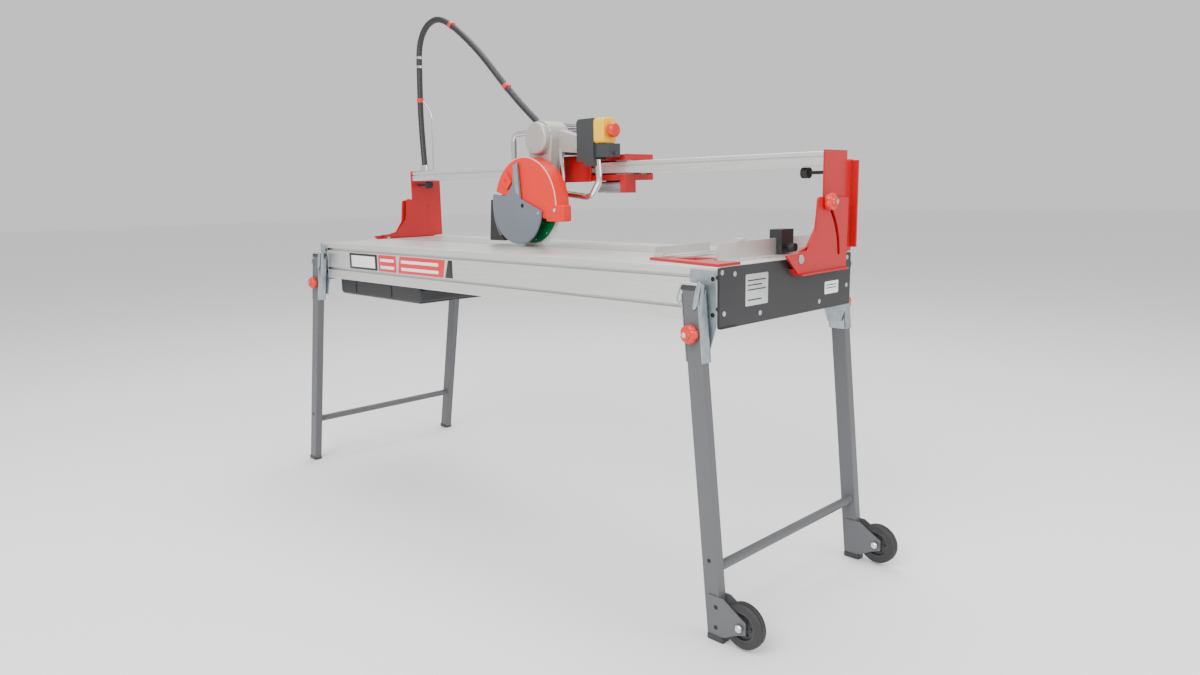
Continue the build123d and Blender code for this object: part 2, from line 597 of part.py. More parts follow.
# ---------------------------------------------------------------- head: handles
HANDLE_R = 9.5
HANDLE_Y = 66
LEFT_GRIP = [(-70, HANDLE_Y, 1134), (-190, HANDLE_Y, 1134), (-193, HANDLE_Y, 985), (-74, HANDLE_Y, 985)]
RIGHT_GRIP = [
    (26, HANDLE_Y, 1082), (34, HANDLE_Y, 950), (150, HANDLE_Y, 938), (186, HANDLE_Y, 985), (182, HANDLE_Y, 1044),
]
with BuildPart() as handles:
    tube(LEFT_GRIP, [26, 34], HANDLE_R, HANDLE_R - 2)
    tube(RIGHT_GRIP, [16, 34, 30], HANDLE_R, HANDLE_R - 2)
save(handles, "handles")

# ---------------------------------------------------------------- head: blade guard
GUARD_R = 140
GUARD_WALL = 3
GUARD_Y = (-26, 26)
HOUSING_ARC = (-12, 162)
FLAP_PIVOT_R = 6


def guard_sector(r, arc, y, mode=Mode.ADD):
    """A disc sector about the blade's axis, carried along Y."""
    mid = (arc[0] + arc[1]) / 2
    with BuildSketch(Plane.XZ.offset(-y[1])) as outline:
        with BuildLine():
            ThreePointArc(on_circle(arc[0], r), on_circle(mid, r), on_circle(arc[1], r))
            Line(on_circle(arc[1], r), (BLADE_X, BLADE_Z))
            Line((BLADE_X, BLADE_Z), on_circle(arc[0], r))
        make_face()
    extrude(outline.sketch, amount=y[1] - y[0], mode=mode)


with BuildPart() as guard_housing:
    guard_sector(GUARD_R, HOUSING_ARC, GUARD_Y)
    rod_y(BLADE_X, BLADE_Z, 48, GUARD_Y)
    block((62, 137), (-28, -4), (872, 920))
    block((40, 112), (-26, 26), (880, 916))
    fillet(guard_housing.edges().filter_by(Axis.Y).sort_by(Axis.X)[-2:], radius=5)
    inner_y = (GUARD_Y[0] + GUARD_WALL, GUARD_Y[1] - GUARD_WALL)
    rod_y(BLADE_X, BLADE_Z, GUARD_R - GUARD_WALL, inner_y, Mode.SUBTRACT)
    rod_y(BLADE_X, BLADE_Z, 24, (GUARD_Y[1] - 5, GUARD_Y[1] + 1), Mode.SUBTRACT)
    block((20, 99), (inner_y[0], inner_y[1]), (870, 912), Mode.SUBTRACT)
    rod_y(*on_circle(135, 102), 11, (-36, GUARD_Y[0] + 1))
    rod_y(*on_circle(135, 120), 8, (-36, GUARD_Y[0] + 1))
    rod_y(BLADE_X, BLADE_Z, FLAP_PIVOT_R, (-33, -25))
    rod_y(BLADE_X, BLADE_Z, 9, (-36, -33))
save(guard_housing, "guard_housing")

FLAP_Y = (-31.5, -28.5)
with BuildPart() as guard_flap:
    with BuildSketch(Plane.XZ.offset(-FLAP_Y[1])) as face:
        with BuildLine():
            tip = (BLADE_X + 84, BLADE_Z - 16)
            bottom = (BLADE_X - 46, BLADE_Z - 112)
            left = on_circle(180, 145.5)
            shoulder = on_circle(166, 145.5)
            start = ThreePointArc(tip, (BLADE_X + 58, BLADE_Z - 78), bottom)
            ThreePointArc(bottom, on_circle(212, 138), left)
            ThreePointArc(left, on_circle(173, 145.5), shoulder)
            Polyline(shoulder, on_circle(160, 84), on_circle(127, 80), on_circle(108, 128), on_circle(99, 128))
            Polyline(on_circle(99, 128), (BLADE_X - 10, BLADE_Z + 20), tip)
        make_face()
    extrude(face.sketch, amount=FLAP_Y[1] - FLAP_Y[0])
    rim_y = (FLAP_Y[1], 29)
    with BuildSketch(Plane.XZ.offset(-rim_y[1])) as rim:
        with BuildLine() as rim_line:
            CenterArc((BLADE_X, BLADE_Z), 144, 172, 46)
        SlotArc(rim_line.edge(), height=3)
    extrude(rim.sketch, amount=rim_y[1] - rim_y[0])
    rod_y(BLADE_X, BLADE_Z, FLAP_PIVOT_R + RUN_CLEARANCE, (-33, -26), Mode.SUBTRACT)
save(guard_flap, "guard_flap")

with BuildPart() as splash_flap:
    outline = [(-189, 936), (-186.5, 918), (-179, 868), (-162, 834), (-143, 812), (-216, 812), (-204, 936)]
    prism_y(outline, (-22, 14))
    block((-204, -160), (10, 28), (928, 950))
    rod_y(BLADE_X, BLADE_Z, 148.5, (-40, 28.5), Mode.SUBTRACT)
save(splash_flap, "splash_flap")

# ---------------------------------------------------------------- blade and motor rotor
SEGMENTS = 16
with BuildPart() as blade:
    y_span = (BLADE_Y - BLADE_T / 2, BLADE_Y + BLADE_T / 2)
    rod_y(BLADE_X, BLADE_Z, BLADE_R, y_span)
    with Locations(Location((BLADE_X, BLADE_Y, BLADE_Z), (90, 0, 0))):
        with PolarLocations(BLADE_R - 6, SEGMENTS):
            Box(16, 2.4, BLADE_T + 1, mode=Mode.SUBTRACT)
    rod_y(BLADE_X, BLADE_Z, ARBOR_R, (0, 10), Mode.SUBTRACT)
save(blade, "blade")

with BuildPart() as arbor:
    rod_y(BLADE_X, BLADE_Z, ARBOR_R, (-14, 84))
    for span in ((-2, y_span[0]), (y_span[1], 12)):
        rod_y(BLADE_X, BLADE_Z, 28, span)
    with BuildSketch(Plane.XZ.offset(2)):
        with Locations((BLADE_X, BLADE_Z)):
            RegularPolygon(15, 6)
    extrude(amount=9)
save(arbor, "arbor")

with BuildPart() as blade_pulley:
    rod_y(BLADE_X, BLADE_Z, BIG_PULLEY_R, GROOVE_Y)
    for y in ((GROOVE_Y[0] - 2, GROOVE_Y[0]), (GROOVE_Y[1], GROOVE_Y[1] + 2)):
        rod_y(BLADE_X, BLADE_Z, BIG_PULLEY_R + 2, y)
    rod_y(BLADE_X, BLADE_Z, ARBOR_R, (GROOVE_Y[0] - 3, GROOVE_Y[1] + 3), Mode.SUBTRACT)
save(blade_pulley, "blade_pulley")

with BuildPart() as motor_rotor:
    rod_y(MOTOR_X, MOTOR_Z, ARBOR_R, (GROOVE_Y[0] - 2, 240))
    rod_y(MOTOR_X, MOTOR_Z, 30, (120, 215))
    rod_y(MOTOR_X, MOTOR_Z, SMALL_PULLEY_R, GROOVE_Y)
    for y in ((GROOVE_Y[0] - 2, GROOVE_Y[0]), (GROOVE_Y[1], GROOVE_Y[1] + 2)):
        rod_y(MOTOR_X, MOTOR_Z, SMALL_PULLEY_R + 2, y)
save(motor_rotor, "motor_rotor")

# ---------------------------------------------------------------- folding legs and wheels
WALL = 2
CHANNEL_T = 3
FOOT_H = 8


def leg_x(z, pivot_x, foot_x):
    """The middle of a leg's tube at a height."""
    return foot_x + (pivot_x - foot_x) * z / PIVOT_Z


def leg_outline(pivot_x, foot_x, low, high, half):
    """A slanted strip along a leg, level at both ends."""
    bottom_x = leg_x(low, pivot_x, foot_x)
    top_x = leg_x(high, pivot_x, foot_x)
    return [(bottom_x - half, low), (bottom_x + half, low), (top_x + half, high), (top_x - half, high)]


for label, pivot_x, foot_x in (
    ("left_leg", LEFT_PIVOT_X, LEFT_FOOT_X),
    ("right_leg", RIGHT_PIVOT_X, RIGHT_FOOT_X),
):
    with BuildPart() as leg_frame:
        for side in (-1, 1):
            y_span = sorted((side * LEG_BACK, side * LEG_FACE))
            prism_y(leg_outline(pivot_x, foot_x, FOOT_H, LEG_TOP_Z, LEG_W / 2), y_span)
        fillet(leg_frame.edges().filter_by(lambda e: abs(e.length - 752) < 30), radius=3)
        for side in (-1, 1):
            hollow = sorted((side * (LEG_BACK + WALL), side * (LEG_FACE - WALL)))
            prism_y(leg_outline(pivot_x, foot_x, 0, 800, LEG_W / 2 - WALL), hollow, Mode.SUBTRACT)
            hole = sorted((side * (LEG_BACK - 1), side * (LEG_FACE + 1)))
            rod_y(pivot_x, PIVOT_Z, PIVOT_R + RUN_CLEARANCE, hole, Mode.SUBTRACT)
        rod_y(leg_x(CROSSBAR_Z, pivot_x, foot_x), CROSSBAR_Z, CROSSBAR_R, (-LEG_BACK, LEG_BACK))
    save(leg_frame, label + "_frame")

    with BuildPart() as fittings:
        for side in (-1, 1):
            outer = sorted((side * (LEG_BACK - CHANNEL_T), side * LEG_FACE))
            inner = sorted((side * LEG_BACK, side * (LEG_FACE + 1)))
            prism_y(leg_outline(pivot_x, foot_x, 602, 745, LEG_W / 2 + CHANNEL_T), outer)
            prism_y(leg_outline(pivot_x, foot_x, 600, 790, LEG_W / 2), inner, Mode.SUBTRACT)
            hole = sorted((side * (LEG_BACK - 5), side * (LEG_FACE + 5)))
            rod_y(pivot_x, PIVOT_Z, PIVOT_R + RUN_CLEARANCE, hole, Mode.SUBTRACT)
            y_span = sorted((side * (LEG_BACK - 2), side * (LEG_FACE + 2)))
            block((foot_x - 22, foot_x + 22), y_span, (0, FOOT_H))
        fillet(fittings.edges().filter_by(Axis.Z).group_by(Axis.Z)[0], radius=5)
    save(fittings, label + "_fittings")

AXLE_R = 5
FORK_T = 3
FORK_OUTLINE = [(869, 18), (869, 104), (906, 104), (966, 70), (966, 44), (940, 34), (912, 18)]
with BuildPart() as wheel_forks:
    for side in (-1, 1):
        for face in (LEG_FACE, LEG_BACK - FORK_T):
            prism_y(FORK_OUTLINE, sorted((side * face, side * (face + FORK_T))))
        rod_y(WHEEL_X, WHEEL_Z, AXLE_R, sorted((side * (LEG_BACK - FORK_T - 4), side * (LEG_FACE + FORK_T + 4))))
        for face in (LEG_BACK - FORK_T - 5, LEG_FACE + FORK_T):
            rod_y(WHEEL_X, WHEEL_Z, 9, sorted((side * face, side * (face + 5))))
save(wheel_forks, "wheel_forks")

WHEEL_HALF = 12
for label, side in (("front_wheel", -1), ("rear_wheel", 1)):
    with BuildPart() as tyre:
        rod_y(WHEEL_X, WHEEL_Z, WHEEL_R, (side * LEG_Y - WHEEL_HALF, side * LEG_Y + WHEEL_HALF))
        fillet(tyre.edges(), radius=4)
        rod_y(WHEEL_X, WHEEL_Z, 34, (side * LEG_Y - 20, side * LEG_Y + 20), Mode.SUBTRACT)
    with BuildPart() as hub:
        rod_y(WHEEL_X, WHEEL_Z, 33.95, (side * LEG_Y - WHEEL_HALF + 1, side * LEG_Y + WHEEL_HALF - 1))
        for face in (-1, 1):
            dish = sorted((side * LEG_Y + face * 5, side * LEG_Y + face * 20))
            with Locations(Location((WHEEL_X, sum(dish) / 2, WHEEL_Z), (90, 0, 0))):
                Cylinder(28, dish[1] - dish[0], mode=Mode.SUBTRACT)
        rod_y(WHEEL_X, WHEEL_Z, 12, (side * LEG_Y - WHEEL_HALF + 0.4, side * LEG_Y + WHEEL_HALF - 0.4))
        rod_y(WHEEL_X, WHEEL_Z, AXLE_R + RUN_CLEARANCE, (side * LEG_Y - 20, side * LEG_Y + 20), Mode.SUBTRACT)
    tyre.part.label = "tyre"
    hub.part.label = "hub"
    with BuildPart() as wheel:
        add(tyre.part)
        add(hub.part)
    save(wheel, label)

# ---------------------------------------------------------------- clamp knobs
KNOB_R = 21
LOBES = 5


def lobed_knob(plane, bore):
    """A five-lobed hand knob, its seat on the plane, growing along the plane's normal."""
    with BuildPart() as knob:
        with BuildSketch(plane):
            Circle(KNOB_R - 5)
            with PolarLocations(KNOB_R - 8, LOBES):
                Circle(8)
        extrude(amount=18)
        with BuildSketch(plane):
            Circle(11)
        extrude(amount=24)
        with BuildSketch(plane):
            Circle(bore)
        extrude(amount=30, mode=Mode.SUBTRACT)
    return knob


KNOB_SEAT = LEG_FACE + 1
LEG_KNOBS = {
    "knob_front_left": (LEFT_PIVOT_X, -1),
    "knob_front_right": (RIGHT_PIVOT_X, -1),
    "knob_rear_left": (LEFT_PIVOT_X, 1),
    "knob_rear_right": (RIGHT_PIVOT_X, 1),
}
for label, (x, side) in LEG_KNOBS.items():
    seat_plane = Plane(origin=(x, side * KNOB_SEAT, PIVOT_Z), z_dir=(0, side, 0))
    save(lobed_knob(seat_plane, PIVOT_R + RUN_CLEARANCE), label)

TILT_SEAT = BRACKET_X0 + TILT_PLATE_T + 0.5
for label, side in (("left_tilt_knob", -1), ("right_tilt_knob", 1)):
    seat_plane = Plane(origin=(side * TILT_SEAT, STUD_Y, STUD_Z), z_dir=(side, 0, 0))
    save(lobed_knob(seat_plane, TILT_STUD_R + RUN_CLEARANCE), label)
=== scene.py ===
"""Looks for the rail tile cutter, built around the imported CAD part. Metres, in the part's own frame."""

import json
import math

import bmesh
import bpy
import numpy as np
from mathutils import Matrix, Vector


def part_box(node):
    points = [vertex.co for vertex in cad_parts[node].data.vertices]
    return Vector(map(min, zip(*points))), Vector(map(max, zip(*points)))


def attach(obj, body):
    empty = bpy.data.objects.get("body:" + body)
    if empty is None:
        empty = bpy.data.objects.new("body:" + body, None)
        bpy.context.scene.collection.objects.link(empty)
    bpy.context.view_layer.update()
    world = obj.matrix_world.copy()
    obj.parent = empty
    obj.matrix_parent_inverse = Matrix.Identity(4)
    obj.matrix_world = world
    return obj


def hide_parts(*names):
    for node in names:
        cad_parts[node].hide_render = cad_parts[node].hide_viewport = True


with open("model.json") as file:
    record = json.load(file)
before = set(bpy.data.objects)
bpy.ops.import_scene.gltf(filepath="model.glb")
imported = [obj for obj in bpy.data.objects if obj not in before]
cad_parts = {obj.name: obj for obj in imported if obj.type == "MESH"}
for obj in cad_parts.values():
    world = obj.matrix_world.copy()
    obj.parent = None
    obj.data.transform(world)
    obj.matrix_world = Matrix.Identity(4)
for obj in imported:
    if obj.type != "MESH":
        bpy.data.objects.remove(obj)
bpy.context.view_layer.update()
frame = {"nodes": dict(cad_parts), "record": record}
nodes = frame["nodes"]
MM = 0.001
X, Y, Z = np.eye(3)


# ---------------------------------------------------------------- shapes as surfaces of two parameters
def grid_faces(rows, cols, wrap_rows=False, wrap_cols=True):
    """The quads of a rows by cols grid: each joins a point to the next in both directions."""
    i, j = np.meshgrid(
        np.arange(rows if wrap_rows else rows - 1),
        np.arange(cols if wrap_cols else cols - 1),
        indexing="ij",
    )
    down, across = (i + 1) % rows, (j + 1) % cols
    quads = np.stack([i * cols + j, down * cols + j, down * cols + across, i * cols + across], -1)
    return quads.reshape(-1, 4)


def piece(name, points, faces, finishes, body, which=None, sharp=38.0, swaps=()):
    """A finished piece: doubles merged, faces outwards, smooth but for edges sharper than the limit."""
    mesh = bpy.data.meshes.new(name)
    mesh.from_pydata(np.asarray(points, float).reshape(-1, 3).tolist(), [],
                     [list(map(int, f)) for f in faces])
    for finish in finishes:
        mesh.materials.append(bpy.data.materials[finish])
    if which is not None:
        mesh.polygons.foreach_set("material_index", np.asarray(which, np.int32))
    shell = bmesh.new()
    shell.from_mesh(mesh)
    bmesh.ops.remove_doubles(shell, verts=shell.verts, dist=2e-6)
    bmesh.ops.dissolve_degenerate(shell, edges=shell.edges, dist=1e-7)
    bmesh.ops.recalc_face_normals(shell, faces=shell.faces)
    shell.to_mesh(mesh)
    shell.free()
    mesh.shade_smooth()
    mesh.set_sharp_from_angle(angle=math.radians(sharp))
    made = bpy.data.objects.new(name, mesh)
    bpy.context.scene.collection.objects.link(made)
    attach(made, body)
    if swaps:
        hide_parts(*swaps)
    return made


def repeat_faces(faces, points_each, copies):
    """The faces of one shape, repeated for its copies further on in the point list."""
    shift = np.arange(copies)[:, None, None] * points_each
    return (faces[None] + shift).reshape(-1, faces.shape[1])


def across(axis):
    """Two directions square to an axis and to each other."""
    axis = np.asarray(axis, float) / np.linalg.norm(axis)
    start = Z if abs(axis[2]) < 0.9 else X
    first = np.cross(start, axis)
    first /= np.linalg.norm(first)
    return axis, first, np.cross(axis, first)


def turned_points(profile, places, axis, sides=40, reach=None):
    """A profile of (distance along, radius) turned about an axis at each place.

    Point (i, j) is place + along_i * axis + radius_i * reach(angle_j) * (cos, sin).
    """
    profile = np.asarray(profile, float)
    places = np.asarray(places, float).reshape(-1, 3)
    axis, first, second = across(axis)
    angle = np.linspace(0, 2 * np.pi, sides, endpoint=False)
    factor = np.ones(sides) if reach is None else reach(angle)
    ring = (np.cos(angle) * factor)[:, None] * first + (np.sin(angle) * factor)[:, None] * second
    shape = profile[:, 0, None, None] * axis + profile[:, 1, None, None] * ring[None]
    return places[:, None, None, :] + shape[None]


def turned(name, profile, places, axis, finish, body, sides=40, reach=None, sharp=38.0, swaps=()):
    """One piece of turned shapes, the same at each place. Profiles start and end at radius 0."""
    points = turned_points(profile, places, axis, sides, reach)
    copies, rows, cols = points.shape[:3]
    faces = repeat_faces(grid_faces(rows, cols), rows * cols, copies)
    return piece(name, points, faces, [finish], body, sharp=sharp, swaps=swaps)


def hexagon(angle):
    """The reach of a six-sided bar against its round one: 1 / cos of the angle from the nearest flat."""
    return 0.93 / np.cos((angle + np.pi / 6) % (np.pi / 3) - np.pi / 6)


def softened(corners, radius, steps=4, closed=True):
    """Corners rounded: each becomes a parabola from a point radius before it to one radius after it."""
    corners = np.asarray(corners, float)
    before, after = np.roll(corners, 1, 0), np.roll(corners, -1, 0)
    radius = np.broadcast_to(np.asarray(radius, float), len(corners))[:, None]
    to_before, to_after = before - corners, after - corners
    len_before = np.linalg.norm(to_before, axis=1, keepdims=True)
    len_after = np.linalg.norm(to_after, axis=1, keepdims=True)
    a = corners + to_before * np.minimum(radius / len_before, 0.49)
    b = corners + to_after * np.minimum(radius / len_after, 0.49)
    t = np.linspace(0, 1, steps + 1)[None, :, None]
    curve = (1 - t) ** 2 * a[:, None] + 2 * t * (1 - t) * corners[:, None] + t**2 * b[:, None]
    if closed:
        return curve.reshape(-1, corners.shape[1])
    inside = curve[1:-1].reshape(-1, corners.shape[1])
    return np.concatenate([corners[:1], inside, corners[-1:]])


def inset(outline, distance):
    """An outline moved inwards by a distance along the bisectors of its corners."""
    step = np.roll(outline, -1, 0) - outline
    step /= np.maximum(np.linalg.norm(step, axis=1, keepdims=True), 1e-9)
    normal = np.stack([-step[:, 1], step[:, 0]], 1)
    previous = np.roll(normal, 1, 0)
    area = np.sum(outline[:, 0] * np.roll(outline[:, 1], -1) - np.roll(outline[:, 0], -1) * outline[:, 1])
    both = (normal + previous) / np.maximum(1 + np.sum(normal * previous, 1, keepdims=True), 0.3)
    return outline + np.sign(area) * distance * both


def slab(name, outline, along, span, finish, body, edge=0.8 * MM, round_by=0.0, sharp=50.0, swaps=()):
    """An outline carried from span[0] to span[1] along X, Y or Z, its rims rounded by edge.

    Ring k is the outline inset by edge * (1 - sin a_k) at height span + edge * (1 - cos a_k).
    """
    outline = np.asarray(outline, float)
    if round_by:
        outline = softened(outline, round_by)
    turn = np.radians([0, 30, 60, 90])
    insets = edge * (1 - np.sin(turn))
    lift = edge * (1 - np.cos(turn))
    rings = [(span[0] + h, d) for h, d in zip(lift, insets)]
    rings += [(span[1] - h, d) for h, d in zip(lift[::-1], insets[::-1])]
    order = {"x": (2, 0, 1), "y": (0, 2, 1), "z": (0, 1, 2)}[along]
    stack = np.stack([np.column_stack([inset(outline, d), np.full(len(outline), h)]) for h, d in rings])
    points = stack[..., list(order)] if along != "x" else stack[..., [2, 0, 1]]
    rows, cols = points.shape[:2]
    faces = grid_faces(rows, cols).tolist()
    faces += [list(range(cols)), list(range((rows - 1) * cols, rows * cols))]
    return piece(name, points, faces, [finish], body, sharp=sharp, swaps=swaps)


def bar(name, low, high, finish, body, edge=0.8 * MM, along="y", round_by=0.0, swaps=()):
    """A rectangular slab between two corners."""
    low, high = np.asarray(low, float), np.asarray(high, float)
    a, b, c = {"x": (1, 2, 0), "y": (0, 2, 1), "z": (0, 1, 2)}[along]
    outline = [(low[a], low[b]), (high[a], low[b]), (high[a], high[b]), (low[a], high[b])]
    return slab(name, outline, along, (low[c], high[c]), finish, body, edge, round_by, swaps=swaps)


def tube_points(path, radius, side, sides=14):
    """A round section carried along a path: point (i, j) is path_i + radius_i * (cos, sin) square to it."""
    path = np.asarray(path, float)
    tangent = np.gradient(path, axis=0)
    tangent /= np.linalg.norm(tangent, axis=1, keepdims=True)
    first = np.cross(np.asarray(side, float), tangent)
    first /= np.linalg.norm(first, axis=1, keepdims=True)
    second = np.cross(tangent, first)
    angle = np.linspace(0, 2 * np.pi, sides, endpoint=False)
    radius = np.broadcast_to(np.asarray(radius, float), len(path))
    ring = np.cos(angle)[None, :, None] * first[:, None] + np.sin(angle)[None, :, None] * second[:, None]
    shell = path[:, None] + radius[:, None, None] * ring
    ends = np.repeat(path[[0, -1]][:, None], sides, 1)
    return np.concatenate([ends[:1], shell, ends[1:]])


def tube(name, path, radius, finish, body, side=(0, 1, 0), sides=14, sharp=50.0, swaps=()):
    """A bent rod or tube, closed at both ends."""
    points = tube_points(path, radius, side, sides)
    return piece(name, points, grid_faces(*points.shape[:2]), [finish], body, sharp=sharp, swaps=swaps)


# ---------------------------------------------------------------- finishes
FINISHES = {}


def finish(
    name, slot, colour, rough, metal=0.0, grain=900.0, stretch=(1, 1, 1), relief=0.00004, spread=0.08,
    scuff=0.06, rough_spread=0.12, coat=0.0, second=None, second_scale=9.0,
):
    """A procedural finish: fine grain drives tint, gloss and relief; soft patches add wear and dust."""
    made = bpy.data.materials.new(name)
    made.use_nodes = True
    tree = made.node_tree
    tree.nodes.clear()
    new, link = tree.nodes.new, tree.links.new
    out, shader = new("ShaderNodeOutputMaterial"), new("ShaderNodeBsdfPrincipled")
    place, mapping = new("ShaderNodeTexCoord"), new("ShaderNodeMapping")
    fine, broad = new("ShaderNodeTexNoise"), new("ShaderNodeTexNoise")
    mapping.inputs["Scale"].default_value = stretch
    fine.inputs["Scale"].default_value = grain
    fine.inputs["Detail"].default_value = 5
    broad.inputs["Scale"].default_value = second_scale
    broad.inputs["Detail"].default_value = 8
    broad.inputs["Roughness"].default_value = 0.62
    link(place.outputs["Object"], mapping.inputs["Vector"])
    link(mapping.outputs["Vector"], fine.inputs["Vector"])
    link(place.outputs["Object"], broad.inputs["Vector"])
    colour = np.array(colour)
    tint = new("ShaderNodeValToRGB")
    tint.color_ramp.elements[0].position = 0.3
    tint.color_ramp.elements[1].position = 0.7
    tint.color_ramp.elements[0].color = (*np.clip(colour * (1 - spread), 0, 1), 1)
    tint.color_ramp.elements[1].color = (*np.clip(colour * (1 + spread), 0, 1), 1)
    link(fine.outputs["Fac"], tint.inputs["Fac"])
    patch = new("ShaderNodeValToRGB")
    patch.color_ramp.elements[0].position = 0.42
    patch.color_ramp.elements[1].position = 0.72
    patch.color_ramp.elements[0].color = (0, 0, 0, 1)
    patch.color_ramp.elements[1].color = (scuff, scuff, scuff, 1)
    link(broad.outputs["Fac"], patch.inputs["Fac"])
    mix = new("ShaderNodeMix")
    mix.data_type = "RGBA"
    worn = colour * 0.75 + 0.12 if second is None else np.array(second)
    mix.inputs["B"].default_value = (*np.clip(worn, 0, 1), 1)
    link(patch.outputs["Color"], mix.inputs["Factor"])
    link(tint.outputs["Color"], mix.inputs["A"])
    link(mix.outputs["Result"], shader.inputs["Base Color"])
    gloss = new("ShaderNodeMapRange")
    gloss.inputs["From Min"].default_value = 0.3
    gloss.inputs["From Max"].default_value = 0.7
    gloss.inputs["To Min"].default_value = rough * (1 - rough_spread)
    gloss.inputs["To Max"].default_value = min(1, rough * (1 + rough_spread))
    link(broad.outputs["Fac"], gloss.inputs["Value"])
    link(gloss.outputs["Result"], shader.inputs["Roughness"])
    bump = new("ShaderNodeBump")
    bump.inputs["Strength"].default_value = 0.6
    bump.inputs["Distance"].default_value = relief
    link(fine.outputs["Fac"], bump.inputs["Height"])
    link(bump.outputs["Normal"], shader.inputs["Normal"])
    shader.inputs["Metallic"].default_value = metal
    if coat:
        shader.inputs["Coat Weight"].default_value = coat
        shader.inputs["Coat Roughness"].default_value = 0.12
    link(shader.outputs["BSDF"], out.inputs["Surface"])
    FINISHES.setdefault(slot, name)
    return made


finish("extruded_aluminium", "aluminium_profile", (0.74, 0.74, 0.72), 0.42, 0.82, 500, (0.02, 1, 1),
       0.00003, 0.05, 0.05, coat=0.0)
finish("table_planks_brushed", "table_aluminium", (0.72, 0.72, 0.70), 0.40, 0.75, 420, (0.012, 1, 1),
       0.00004, 0.08, 0.10, 0.2)
finish("black_powder", "end_plate_black", (0.018, 0.018, 0.02), 0.42, 0.0, 1500, relief=0.00006, scuff=0.05)
finish("zinc_plate", "galvanised_steel", (0.36, 0.41, 0.44), 0.36, 0.75, 60, relief=0.00001, spread=0.14,
       scuff=0.12)
finish("leg_powder", "leg_grey", (0.105, 0.108, 0.115), 0.46, 0.15, 1400, relief=0.00006, scuff=0.05)
finish("red_powder", "machine_red", (0.45, 0.004, 0.008), 0.30, 0.0, 1200, relief=0.00003, scuff=0.03,
       coat=0.1,
       second=(0.55, 0.015, 0.015))
finish("tank_moulding", "tank_black", (0.022, 0.022, 0.024), 0.50, 0.0, 1300, relief=0.00008, scuff=0.08)
finish("pump_moulding", "pump_black", (0.05, 0.05, 0.055), 0.5)
finish("polished_steel", "bright_steel", (0.72, 0.72, 0.73), 0.16, 1.0, 700, relief=0.00001, spread=0.03,
       scuff=0.08)
finish("flap_rubber", "rubber_black", (0.016, 0.016, 0.016), 0.72, 0.0, 900, relief=0.0001, scuff=0.10)
finish("sand_casting", "cast_alloy", (0.47, 0.45, 0.42), 0.50, 0.55, 900, relief=0.00016, spread=0.12,
       scuff=0.12)
finish("die_casting", "motor_alloy", (0.36, 0.36, 0.39), 0.44, 0.65, 800, relief=0.00008, spread=0.1,
       scuff=0.12)
finish("switch_moulding", "switch_grey", (0.034, 0.037, 0.039), 0.45, 0.0, 1400, relief=0.00006)
finish("yellow_moulding", "stop_yellow", (0.95, 0.52, 0.001), 0.36, 0.0, 1000, relief=0.00003, spread=0.03,
       scuff=0.03,
       coat=0.3)
finish("red_moulding", "stop_red", (0.70, 0.012, 0.002), 0.32, 0.0, 1000, relief=0.00002, spread=0.04,
       scuff=0.03,
       coat=0.3)
finish("guard_moulding", "guard_orange", (0.78, 0.014, 0.002), 0.40, 0.0, 900, relief=0.00005, spread=0.05,
       scuff=0.04, coat=0.05, second=(0.84, 0.05, 0.02))
# Pale pink, not the guard's own colour: a painted highlight for the glint along its outer rim edge.
finish("guard_rim_painted_highlight", "guard_orange", (0.86, 0.36, 0.30), 0.35, 0.0, 900, relief=0.00003, spread=0.03)
finish("guard_flap_moulding", "guard_grey", (0.135, 0.155, 0.185), 0.40, 0.0, 1100, relief=0.00005,
       spread=0.06)
finish("blade_lacquer", "blade_green", (0.001, 0.17, 0.05), 0.32, 0.25, 700, relief=0.00002, scuff=0.05,
       coat=0.3)
finish("turned_steel", "machined_steel", (0.52, 0.52, 0.53), 0.30, 1.0, 900, (1, 0.1, 1), 0.00002)
finish("knob_moulding", "knob_red", (0.68, 0.012, 0.003), 0.36, 0.0, 1000, relief=0.00004, spread=0.05,
       scuff=0.04,
       coat=0.2)
finish("hose_moulding", "hose_black", (0.014, 0.014, 0.016), 0.38, 0.0, 700, relief=0.00003, scuff=0.05)
finish("glide_nylon", "glide_polymer", (0.8, 0.78, 0.72), 0.5)
finish("wheel_moulding", "wheel_black", (0.028, 0.028, 0.03), 0.46, 0.0, 1000, relief=0.00006, scuff=0.08)
finish("belt", "belt_rubber", (0.02, 0.02, 0.02), 0.8)
finish("box_moulding", "stop_box_black", (0.016, 0.016, 0.017), 0.4, 0.0, 1200, relief=0.00005)
finish("tyre_rubber", "rubber_black", (0.020, 0.020, 0.021), 0.62, 0.0, 700, relief=0.00008, scuff=0.10)
finish("rim_diamond", "blade_green", (0.60, 0.60, 0.57), 0.55, 0.5, 500, relief=0.0002, spread=0.2)
finish("label_white", "end_plate_black", (0.86, 0.86, 0.85), 0.35, 0.0, 600, relief=0.00001, spread=0.02,
       scuff=0.02)
finish("label_silver", "end_plate_black", (0.62, 0.63, 0.64), 0.30, 0.7, 600, relief=0.00001, spread=0.04)
finish("label_red", "machine_red", (0.68, 0.012, 0.02), 0.35, 0.0, 600, relief=0.00001, spread=0.03,
       scuff=0.02)
finish("label_dark", "end_plate_black", (0.014, 0.014, 0.016), 0.35, 0.0, 600, relief=0.00001, scuff=0.02)
finish("label_yellow", "stop_yellow", (0.92, 0.60, 0.02), 0.35, 0.0, 600, relief=0.00001, spread=0.03)
# Near black, darker than any black finish here: painted shade for the insides of holes and bores.
finish("bore_shade_black", "end_plate_black", (0.004, 0.004, 0.004), 0.7, 0.0, 900)
finish("bolt_black", "end_plate_black", (0.020, 0.020, 0.022), 0.35, 0.6, 900)

slots = {entry["node"]: entry["material_slot"] for entry in frame["record"]["subparts"]}
for node, solid in nodes.items():
    look = bpy.data.materials[FINISHES[slots[node]]]
    if not solid.data.materials:
        solid.data.materials.append(look)
    for held in solid.material_slots:
        held.material = look


